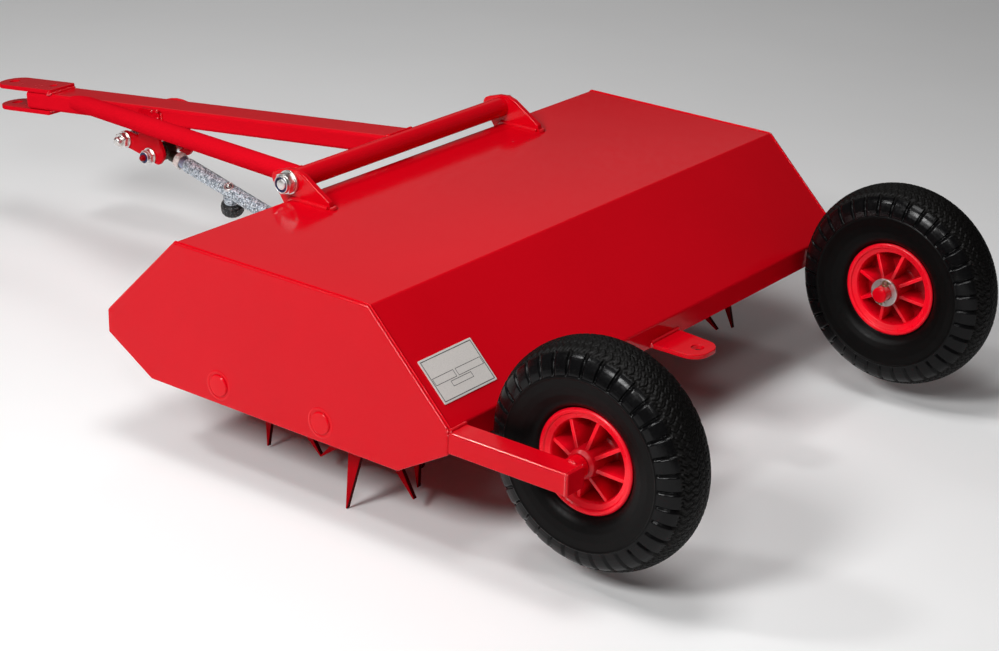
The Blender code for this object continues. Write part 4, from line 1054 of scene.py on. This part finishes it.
def drawbar():
    # cross tube with its open ends
    g = Geo()
    g.add(*revolve(rnd([(8.8, 201.6), (13, 201.6), (13, -201.6), (8.8, -201.6)], 0.5, 3, closed=True), AX, (0, *PIVOT), 72, closed=True))
    finish_obj(g.mesh("cross_tube_skin"), "cross_tube_skin", RED, "drawbar", ("cross_tube",), angle=40)

    # main bar: rounded rectangular tube, open at the front
    front, rear = -831.5, -153.0
    L = (rear - front) / cos(SLOPE)
    mid = bar_point((front + rear) / 2)
    W2, H2 = 25.0, 12.5
    outer = rnd([(-W2, -H2, 5.0), (W2, -H2, 5.0), (W2, H2, 5.0), (-W2, H2, 5.0)], 5.0, 7, closed=True)
    inner = rnd([(-W2 + 3, -H2 + 3, 1.5), (W2 - 3, -H2 + 3, 1.5), (W2 - 3, H2 - 3, 1.5), (-W2 + 3, H2 - 3, 1.5)], 1.5, 7, closed=True)
    g = Geo()
    n = len(outer)
    vs = []
    stations = [-L / 2, -L / 2 + 0.6] + [-L / 2 + L * k / 8 for k in range(1, 8)] + [L / 2]
    for k, z in enumerate(stations):
        sc = 0.4 if k == 0 else 0.0
        for ring, d in ((outer, -sc), (inner, sc)):
            for u, v in ring:
                r = Vector((u, v)).normalized() * d
                vs.append(BARM @ Vector((u + r.x, v + r.y, z)) + mid)
    fs = []
    for i in range(len(stations) - 1):
        a, b = i * 2 * n, (i + 1) * 2 * n
        for k in range(n):
            j = (k + 1) % n
            fs.append((a + k, a + j, b + j, b + k))
            fs.append((a + n + j, a + n + k, b + n + k, b + n + j))
    for k in range(n):
        j = (k + 1) % n
        fs.append((j, k, n + k, n + j))
    e = (len(stations) - 1) * 2 * n
    for k in range(n):
        j = (k + 1) % n
        fs.append((e + k, e + j, e + n + j, e + n + k))
    g.add(vs, fs)
    me = g.mesh("bar_skin")
    bm = bmesh.new(); bm.from_mesh(me); bmesh.ops.recalc_face_normals(bm, faces=bm.faces); bm.to_mesh(me); bm.free()
    # the bar's top takes the painted-sheen copy of the paint
    painted_sheen_top_faces(finish_obj(me, "bar_skin", RED_LOW, "drawbar", ("main_bar",), angle=40), RED_TOP_SHEEN)

    # side brace
    a, b = Vector((24.0, -709.0, 139.5)), Vector((187.0, *PIVOT))
    d = (b - a).normalized()
    rot = frame_from(d)
    # front end cut flush with the bar's side: slide each ring point along the tube until x = 25
    n = 72
    vs, fs = [], []
    for k in range(n):
        w = 2 * pi * k / n
        o = rot @ Vector((12.6 * cos(w), 12.6 * sin(w), 0))
        p = a + o
        t = (24.6 - p.x) / d.x
        t = max(t, (-738.0 - p.y) / d.y)             # the thin tip of the mitre is cut off square
        vs.append(p + d * t)
    ringsN = 24
    for i in range(1, ringsN + 1):
        for k in range(n):
            w = 2 * pi * k / n
            o = rot @ Vector((12.6 * cos(w), 12.6 * sin(w), 0))
            p0 = vs[k]
            p1 = b + o - d * 2.0
            vs.append(Vector(p0).lerp(p1, i / ringsN))
    for i in range(ringsN):
        for k in range(n):
            j = (k + 1) % n
            fs.append((i * n + k, i * n + j, (i + 1) * n + j, (i + 1) * n + k))
    g = Geo()
    g.add(vs, fs)
    me = g.mesh("brace_skin")
    bm = bmesh.new(); bm.from_mesh(me); bmesh.ops.recalc_face_normals(bm, faces=bm.faces); bm.to_mesh(me); bm.free()
    finish_obj(me, "brace_skin", RED_LOW, "drawbar", ("side_brace",), angle=60)
    # welds: brace on cross tube, bar on cross tube
    g = Geo()
    ring = []
    for k in range(49):
        w = 2 * pi * k / 48
        o = rot @ Vector((12.5 * cos(w), 12.5 * sin(w), 0))
        # where the brace meets the cross tube: distance sqrt(r^2 - (radial z)^2) in front of its axis
        dz = max(-12.9, min(12.9, o.z))
        back = sqrt(max(0.1, 13.4 ** 2 - dz * dz))
        p = b + o
        t = (PIVOT[0] - back - p.y) / d.y
        ring.append(p + d * t)
    g.add(*sweep(dense(ring, 1.5), lambda q, tot: 1.2 + 0.15 * noise.noise(Vector((q * 0.1, 42.0, 0))), 8))
    ring = []
    rc = rnd([(-25.6, -13.1, 5.0), (25.6, -13.1, 5.0), (25.6, 13.1, 5.0), (-25.6, 13.1, 5.0)], 5.0, 5, closed=True)
    for u, v in rc + [rc[0]]:
        q = BARM @ Vector((u, v, 0))
        base = bar_point(PIVOT[0])
        dz = (base.z + q.z) - PIVOT[1]
        back = sqrt(max(1.0, 13.3 ** 2 - min(dz * dz, 170)))
        p = base + q
        dd = BARM @ Vector((0, 0, 1))
        t = (PIVOT[0] - back - p.y) / dd.y
        ring.append(p + dd * t)
    g.add(*bead(ring, 1.9, 3.2, seed=43))
    finish_obj(g.mesh("drawbar_welds"), "drawbar_welds", RED, "drawbar", (), angle=70, wn=False)

    # hitch plates
    HY = -879.18
    dy = lambda y: (y - HY) / cos(SLOPE)
    for tag, off, back, corner in (("upper", 1, -781.0, 4.0), ("lower", -1, -788.0, 2.0)):
        w = 25.0
        pts = [(w, 0.0, 0), (w, dy(back), corner), (-w, dy(back), corner), (-w, 0.0, 0)] + \
            [(u, v, 0) for u, v in arc(0, 0, 25.0, 180, 360, 28)[1:-1]]
        holes = [circle(7.5, 36, 0, dy(-883.0))]
        if off > 0:
            holes.append(circle(5.5, 28, 0, dy(-800)))
        me = curve_plate("hitch_skin_" + tag, [rnd(pts, 0, 5, closed=True)] + holes, 6.0, 0.9, BARP,
                         bar_point(HY, off * 15.6), res=2)
        # the hitch plate's top takes the painted-sheen copy of the paint
        painted_sheen_top_faces(finish_obj(me, "hitch_skin_" + tag, RED_LOW, "drawbar", ("hitch_plate_" + tag,), angle=50), RED_HITCH_SHEEN)
        g = Geo()
        pth = [bar_point(back + 0.8, off * 13.2) + Vector((x, 0, 0)) for x in (-23, 23)]
        g.add(*bead(pth, 1.7, 3.0, seed=55 + off))
        if off > 0:
            g.add(*revolve([(1.8 * sin(t * pi / 8), 1.8 * cos(t * pi / 8)) for t in range(9)], I3, (25.0, -785.0, 141.3), 16))
            # a drop of weld on the near corner of the upper plate
            g.add(*bead([bar_point(back - 5, 12.2) + Vector((24.6, 0, 0)), bar_point(back - 1, 13.0) + Vector((25.0, 0, 0)),
                         bar_point(back + 1.5, 13.4) + Vector((23.4, 0, 0))], 1.9, 2.4, seed=58))
        pth = [bar_point(-828.6, off * 11.2) + Vector((x, 0, 0)) for x in (-20, 20)]
        g.add(*bead(pth, 1.2, 3.0, seed=57 + off))
        finish_obj(g.mesh("hitch_weld_" + tag), "hitch_weld_" + tag, RED_HIGHLIGHT_GLOSS, "drawbar", (), angle=70, wn=False)

    # strut bracket
    cheek = rnd([(-556, 163.5, 8), (-558, 121, 12), (-547.5, 99, 12), (-560, 84.5, 7), (-594, 93.0, 0), (-617, 97.3, 8),
                 (-634, 101, 11), (-633, 121.8, 10), (-598.5, 117.6, 3), (-597, 160.5, 8)], 2, 6, closed=True)
    for s, side in ((1, "left"), (-1, "right")):
        me = curve_plate("bracket_skin_" + side, [cheek, circle(6.2, 28, *BOLT1), circle(6.2, 28, *EYE)], 5.9, 1.0, SIDE,
                         (s * 28.05, 0, 0), res=2)
        # the cheeks take the darker painted-shade copy of the red paint
        finish_obj(me, "bracket_skin_" + side, RED_CHEEK, "drawbar", ("strut_bracket_" + side,), angle=50)
        g = Geo()
        for yy, rr in ((-556, 1.9), (-597.5, 1.9)):
            pth = [bar_point(yy, o) + Vector((s * (26.0), 0, 0)) for o in (-10, 6)]
            g.add(*bead(pth, rr, 3.0, seed=60 + s + yy * 0.01))
        if s > 0:
            # small drops of weld below the bar's upper edge
            for q, r in (((31.2, -568.8, 161.2), 2.0), ((31.2, -559.0, 163.2), 2.5), ((31.2, -557.5, 153.6), 1.9)):
                g.add(*revolve([(r * sin(t * pi / 8), r * cos(t * pi / 8)) for t in range(9)], I3, q, 16))
        else:
            # smooth mound of weld over the far upper edge
            top = dense([(-27.0, -600, 158.6), (-27.0, -590, 160.6), (-27.0, -580, 162.0), (-27.0, -568, 162.6), (-27.0, -552, 162.0)], 1.0)
            g.add(*sweep(top, lambda q, tot: 0.4 + 1.9 * sin(pi * min(1.0, max(0.0, q / tot))) ** 0.8, 12))
        finish_obj(g.mesh("bracket_weld_" + side), "bracket_weld_" + side, RED_HIGHLIGHT_GLOSS, "drawbar", (), angle=70, wn=False)
    g = Geo()
    g.add(*revolve(rnd([(6.4, 25.0), (9, 25.0), (9, -25.0), (6.4, -25.0)], 0.5, 3, closed=True), AX, (0, *BOLT1), 48, closed=True))
    finish_obj(g.mesh("sleeve_skin"), "sleeve_skin", GALV, "drawbar", ("spacer_sleeve",), angle=40)
    face = 31.0
    # front bolt: plain nut, long bright threaded end
    for tag, at, end, nyl in (("spacer", BOLT1, 49.6, False), ("strut", EYE, 50.0, True)):
        g = Geo()
        g.add(*revolve(rnd([(0, face + 2), (6, face + 2), (6, -face - 2), (0, -face - 2)], 0.2, 1), AX, (0, *at), 32))
        if nyl:
            g.add(*revolve([(0, face + 8.0), (5.6, face + 8.0), (5.6, face), (0, face)], AX, (0, *at), 32))
        else:
            g.add(*revolve(rnd([(0, end), (4.6, end - 0.3, 2.4), (6.2, end - 2.6, 2.2), (6.1, end - 7.0), (6.1, face), (0, face)], 1.6, 5), AX, (0, *at), 48))
        g.add(*hex_nut(19.0, 7.5, 0.5, AX, (-face - 4.2, *at), phase=0.2))
        finish_obj(g.mesh(tag + "_bolt_skin"), tag + "_bolt_skin", ZINC, "drawbar", (tag + "_bolt",), angle=32)
        if nyl:
            at = (at[0] - 0.4, at[1] - 1.1)
        g = Geo()
        g.add(*revolve(rnd([(6.3, 2.4), (11.8, 2.4), (11.8, 0.2), (6.3, 0.2)], 0.4, 3, closed=True), AX, (face, *at), 56, closed=True))
        h = 6.0 if nyl else 7.4
        g.add(*hex_nut(19.0, h, 6.1, AX, (face + 2.5 + h / 2, *at), phase=0.35, ends=(True, not nyl)))
        if nyl:
            g.add(*revolve(rnd([(7.6, 2.4), (8.5, 2.2, 0.7), (9.1, -1.3), (9.1, -2.0), (7.2, -2.0), (7.2, 1.8)], 0.4, 3, closed=True), AX,
                           (face + 2.5 + h + 1.9, *at), 56, closed=True))
        finish_obj(g.mesh(tag + "_nut_skin"), tag + "_nut_skin", ZINC, "drawbar", (tag + "_nut",), angle=32)
        if nyl:
            g = Geo()
            g.add(*revolve(rnd([(4.3, 2.3), (7.7, 2.3), (7.7, -1.8), (4.3, -1.8)], 0.5, 3, closed=True), AX, (face + 2.5 + h + 1.9, *at), 40, closed=True))
            finish_obj(g.mesh("strut_nylon"), "strut_nylon", BLUE, "drawbar", (), angle=40)
            g = Geo()
            g.add(*thread(4.25, face + 7.0, end, AX, (0, *at), 1.75, 40, 3.0))
            finish_obj(g.mesh("strut_bolt_tip"), "strut_bolt_tip", RED_IN, "drawbar", (), angle=40)


BOLT1 = (-623.5, 109.2)
EYE = (-575.0, 96.8)

# =============================================================== strut
TILT = radians(13.28)
A = (-285.0, 24.6)
STRUTM = Matrix(((1, 0, 0), (0, sin(TILT), -cos(TILT)), (0, cos(TILT), sin(TILT))))
_d = Vector((0, -cos(TILT), sin(TILT)))
_n = Vector((0, sin(TILT), cos(TILT)))
ROLL = radians(-19.0)
PIN_DIR = Vector((sin(ROLL), 0, 0)) - _n * cos(ROLL)


def on_strut(s, n=0.0, x=0.0):
    return Vector((x, A[0], A[1])) + _d * s + _n * n


def strut():
    A3 = (0, *A)
    # lug on the hood's front band
    cheek = [(-FOLD_Y - 0.1, 66, 1), (-FOLD_Y - 6, 66, 2)] + [(u, v, 0) for u, v in arc(*A, 13.5, 150, 300, 16)] + [(-FOLD_Y - 3.4, 40, 2), (-FOLD_Y - 0.1, 44, 1)]
    for s, nm in ((1, "near"), (-1, "far")):
        me = curve_plate("strut_lug_" + nm, [rnd(cheek, 1, 4, closed=True), circle(6.3, 28, *A)], 5.0, 0.8, SIDE, (s * 12.0, 0, 0), res=2)
        finish_obj(me, "strut_lug_" + nm, RED, "frame", ("strut_lug",) if s > 0 else (), angle=50)
    g = Geo()
    g.add(*box_geo(0, -FOLD_Y - 2.2, 55.5, 28.0, 4.0, 20.0, 0.8, 2))
    finish_obj(g.mesh("strut_lug_web"), "strut_lug_web", RED, "frame", (), angle=40)
    g = Geo()
    g.add(*bead([(-15, -FOLD_Y - 1.0, 66.2), (15, -FOLD_Y - 1.0, 66.2)], 2.0, 3.0, seed=71))
    g.add(*bead([(15.2, -FOLD_Y - 1.0, 65), (15.2, -FOLD_Y - 1.0, 45)], 2.0, 3.0, seed=72))
    g.add(*bead([(-15.2, -FOLD_Y - 1.0, 65), (-15.2, -FOLD_Y - 1.0, 45)], 2.0, 3.0, seed=73))
    finish_obj(g.mesh("strut_lug_weld"), "strut_lug_weld", RED, "frame", (), angle=70, wn=False)
    g = Geo()
    g.add(*revolve(rnd([(0, 15), (6, 15), (6, -15), (0, -15)], 0.2, 1), AX, A3, 32))
    g.add(*thread(5.8, 14.0, 25.0, AX, A3, 1.75, 36, 1.2))
    g.add(*hex_nut(19.0, 7.0, 0.5, AX, (-18.3, *A)))
    g.add(*hex_nut(19.0, 7.0, 6.0, AX, (18.4, *A), phase=0.3))
    finish_obj(g.mesh("strut_lug_pin"), "strut_lug_pin", ZINC, "frame", ("strut_lug_bolt",), angle=32)

    # inner bar with its rear eye, hinged on the hood
    g = Geo()
    g.add(*revolve(rnd([(0, 215.0), (6.4, 215.0, 0.8), (7.5, 213.6, 0.6), (7.5, 8.0), (0, 8.0)], 0.5, 3), STRUTM, A3, 48))
    g.add(*revolve(rnd([(6.7, 8.4), (13.3, 8.4), (13.3, -8.4), (6.7, -8.4)], 0.8, 3, closed=True), AX, A3, 56, closed=True))
    ring = [on_strut(13.6) + (STRUTM @ Vector((7.9 * cos(w), 7.9 * sin(w), 0))) for w in [2 * pi * k / 32 for k in range(33)]]
    g.add(*bead(ring, 1.4, 2.6, seed=80))
    finish_obj(g.mesh("inner_tube_skin"), "inner_tube_skin", GALV, "strut_inner", ("strut_inner_tube",), angle=40)

    # outer tube: open at the rear, closed at the front round the threaded rod
    tail, mouth, ps, ro = 34.0, 258.5, 173.0, 10.25
    g = Geo()
    prof = [(8.6, mouth), (8.9, mouth, 0.2), (ro, mouth - 3.2, 1.0), (ro, tail + 0.6, 0.4), (9.6, tail, 0.3), (7.9, tail, 0.3),
            (7.9, 245.0, 0.3), (8.6, 245.3, 0.2)]
    g.add(*revolve(rnd(prof, 0.4, 3, closed=True), STRUTM, A3, 64, closed=True))
    prot = frame_from(PIN_DIR, (0, -cos(TILT), sin(TILT)))
    pc = on_strut(ps)
    # housing below the tube and the hollow boss above it
    low = [(4.6, 18.9), (9.6, 18.9, 0.8), (11.0, 17.6, 0.8), (11.0, 10.2, 0.8), (9.8, 8.8, 0.6), (4.6, 8.8)]
    g.add(*revolve(rnd(low, 0.5, 3, closed=True), prot, pc, 56, closed=True))
    lean = radians(31.0)
    up_rot = frame_from(Vector((sin(lean), 0, 0)) + _n * cos(lean), (0, -cos(TILT), sin(TILT)))
    head = [(4.6, 11.6), (6.3, 11.6, 0.7), (7.3, 10.8, 0.7), (7.3, 6.0), (4.6, 6.0)]
    boss = Geo()
    boss.add(*revolve(rnd(head, 0.5, 3, closed=True), up_rot, pc, 48, closed=True))
    finish_obj(boss.mesh("strut_boss_skin"), "strut_boss_skin", ZINC, "strut_outer", (), angle=40)
    boss = Geo()
    boss.add(*revolve(rnd([(0, 10.9), (4.55, 10.9), (4.55, 10.3), (0, 10.3)], 0.15, 2), up_rot, pc, 40))
    dome = Geo()
    dome.add(*revolve([(0, 15.2), (1.3, 14.9), (2.4, 14.1), (3.1, 12.9), (3.3, 11.4), (3.3, 10.8), (0, 10.8)], up_rot, pc, 40))
    finish_obj(dome.mesh("strut_pin_dome"), "strut_pin_dome", ZINC, "strut_outer", (), angle=40)
    finish_obj(boss.mesh("strut_boss_plug"), "strut_boss_plug", BLACK, "strut_outer", (), angle=40)
    ring = []
    for k in range(33):
        w = 2 * pi * k / 32
        o = prot @ Vector((8.6 * cos(w), 8.6 * sin(w), 0))
        side = o - _d * o.dot(_d)
        hgt = sqrt(max(1.0, 10.4 ** 2 - side.length ** 2))
        ring.append(pc + o + PIN_DIR * (hgt - 0.2))
    g.add(*bead(ring, 1.2, 2.6, seed=81))
    finish_obj(g.mesh("outer_tube_skin"), "outer_tube_skin", GALV, "strut_outer", ("strut_outer_tube",), angle=40)

    # index pin and ribbed knob
    g = Geo()
    g.add(*revolve(rnd([(0, 31), (3.9, 31), (3.9, 9.8), (2.9, 8.7), (0, 8.7)], 0.3, 2), prot, pc, 32))
    finish_obj(g.mesh("index_pin_skin"), "index_pin_skin", ZINC, "index_pin", ("index_pin",), angle=40)
    knob = rnd([(0, 38.2), (10.5, 38.2, 2.5), (14.2, 37.0, 2.2), (15.9, 33.6, 1.4), (15.9, 25.0, 1.4), (14.4, 21.2, 1.6), (10.6, 19.5, 1.2),
                (4.4, 19.5), (4.4, 30.4), (0, 30.4)], 1.0, 4)

    def ribs(r, h, a):
        if r < 12.5:
            return r
        return r - 0.5 * (0.5 + 0.5 * cos(18 * a)) ** 2 * min(1.0, (r - 12.5) / 2.0)
    g = Geo()
    g.add(*revolve(knob, prot, pc, 144, rfun=ribs))
    finish_obj(g.mesh("index_knob_skin"), "index_knob_skin", BLACK, "index_pin", ("index_knob",), angle=50)

    # threaded rod with its eye, lock nut
    e = Vector((0, *EYE)) - Vector(A3)
    es = e.dot(_d)
    g = Geo()
    # the eye and the neck take the near-black painted-shade steel
    g.add(*revolve(rnd([(8.7, 8.0), (12.8, 8.0, 1.5), (12.8, -8.0, 1.5), (8.7, -8.0)], 0.6, 4, closed=True), AX, (0, *EYE), 56, closed=True))
    finish_obj(g.mesh("rod_eye_skin"), "rod_eye_skin", EYE_PAINTED_SHADE, "strut_outer", (), angle=40)
    g = Geo()
    g.add(*revolve([(0, es - 11.0), (8.0, es - 11.0), (8.0, 275.5), (0, 275.5)], STRUTM, A3, 40))
    finish_obj(g.mesh("rod_neck_skin"), "rod_neck_skin", EYE_PAINTED_SHADE, "strut_outer", (), angle=40)
    g = Geo()
    g.add(*thread(8.3, 247.0, 274.5, STRUTM, A3, 2.0, 40, 0.1))
    finish_obj(g.mesh("rod_end_skin"), "rod_end_skin", ROD, "strut_outer", ("strut_rod_end",), angle=40)
    g = Geo()
    g.add(*hex_nut(21.0, 9.5, 8.5, STRUTM, on_strut(270.5), phase=0.3))
    finish_obj(g.mesh("lock_nut_skin"), "lock_nut_skin", NUT_PALE, "strut_outer", ("strut_lock_nut",), angle=32)


hood()
blank_plate()
lugs()
for s, side in ((1, "left"), (-1, "right")):
    tyre(side, s)
    rim(side, s)
    axle(side, s)
arms()
tow_lug()
drawbar()
strut()

# CAD nodes that keep their own shape
for node, m in (("rotor_front_tines_1", TINES), ("rotor_front_tines_2", TINES), ("rotor_rear_tines_1", TINES),
                ("rotor_rear_tines_2", TINES), ("rotor_front_shaft", STEEL), ("rotor_rear_shaft", STEEL),
                ("bearing_front_left", STEEL), ("bearing_front_right", STEEL), ("bearing_rear_left", STEEL),
                ("bearing_rear_right", STEEL), ("sprocket_front", STEEL), ("sprocket_rear", STEEL), ("drive_chain", STEEL)):
    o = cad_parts[node]
    o = o if hasattr(o, "data") else bpy.data.objects[node]
    o.data.materials.clear()
    o.data.materials.append(m)

# =============================================================== stage, lights, camera
def stage():
    me = bpy.data.meshes.new("floor")
    s = 14.0
    me.from_pydata([(-s, -s, 0), (s, -s, 0), (s, s, 0), (-s, s, 0)], [], [(0, 1, 2, 3)])
    o = bpy.data.objects.new("floor", me)
    bpy.context.scene.collection.objects.link(o)
    o.location.z = -0.0005
    m, nt, b = new_mat("pale_floor")
    co = coords(nt)
    n = noise_tex(nt, co, 3.0, 3.0)
    nt.links.new(ramp(nt, n.outputs["Fac"], [(0.3, (0.92, 0.92, 0.92)), (0.7, (0.94, 0.94, 0.94))]), b.inputs["Base Color"])
    b.inputs["Roughness"].default_value = 0.9
    b.inputs["Specular IOR Level"].default_value = 0.1
    me.materials.append(m)


def area(name, loc, target, size, power, color=(1, 1, 1), size_y=None):
    l = bpy.data.lights.new(name, 'AREA')
    l.shape = 'RECTANGLE'
    l.size = size
    l.size_y = size_y or size
    l.energy = power
    l.color = color
    o = bpy.data.objects.new(name, l)
    bpy.context.scene.collection.objects.link(o)
    o.location = loc
    o.rotation_euler = (Vector(target) - Vector(loc)).to_track_quat('-Z', 'Y').to_euler()
    return o


stage()
area("key", (3.2, 0.19, 2.48), (0.1, 0.19, 0.25), 0.9, 84)
area("overhead", (0.60, 0.49, 2.30), (0.1, 0.19, 0.25), 0.8, 19.0)
area("haze", (-3.19, -2.43, 2.32), (0.0, 0.0, 0.2), 5.0, 4.6, size_y=1.6)
area("near_fill", (1.86, 1.35, 1.60), (0.1, 0.25, 0.25), 0.35, 6.5)
area("wash", (-1.75, -1.35, 2.90), (-1.75, -1.35, 0.0), 0.8, 8)
area("edge", (1.38, -0.91, 2.07), (0.2, 0.0, 0.2), 0.3, 14)

w = bpy.data.worlds.new("studio")
bpy.context.scene.world = w
w.use_nodes = True
w.node_tree.nodes["Background"].inputs["Color"].default_value = (1, 0.98, 0.97, 1)
w.node_tree.nodes["Background"].inputs["Strength"].default_value = 0.06

cam = bpy.data.cameras.new("camera")
cam.sensor_width = 36.0
cam.sensor_fit = 'HORIZONTAL'
cam.lens = 2288.267 * 36.0 / 999.0
cam.clip_start, cam.clip_end = 0.05, 60
co = bpy.data.objects.new("camera", cam)
bpy.context.scene.collection.objects.link(co)
az, el, roll = radians(127.1868), radians(22.4593), radians(1.5536)
back = Vector((sin(az) * cos(el), -cos(az) * cos(el), sin(el)))
right = Vector((0, 0, 1)).cross(back).normalized()
up = back.cross(right)
r_ = right * cos(roll) + up * sin(roll)
u_ = -right * sin(roll) + up * cos(roll)
M = Matrix(((r_.x, u_.x, back.x, 0), (r_.y, u_.y, back.y, 0), (r_.z, u_.z, back.z, 0), (0, 0, 0, 1)))
M.translation = W((2122.1, 1622.0, 1094.7))
co.matrix_world = M
bpy.context.scene.camera = co
bpy.context.scene.view_settings.view_transform = 'Standard'
bpy.context.scene.view_settings.look = 'None'
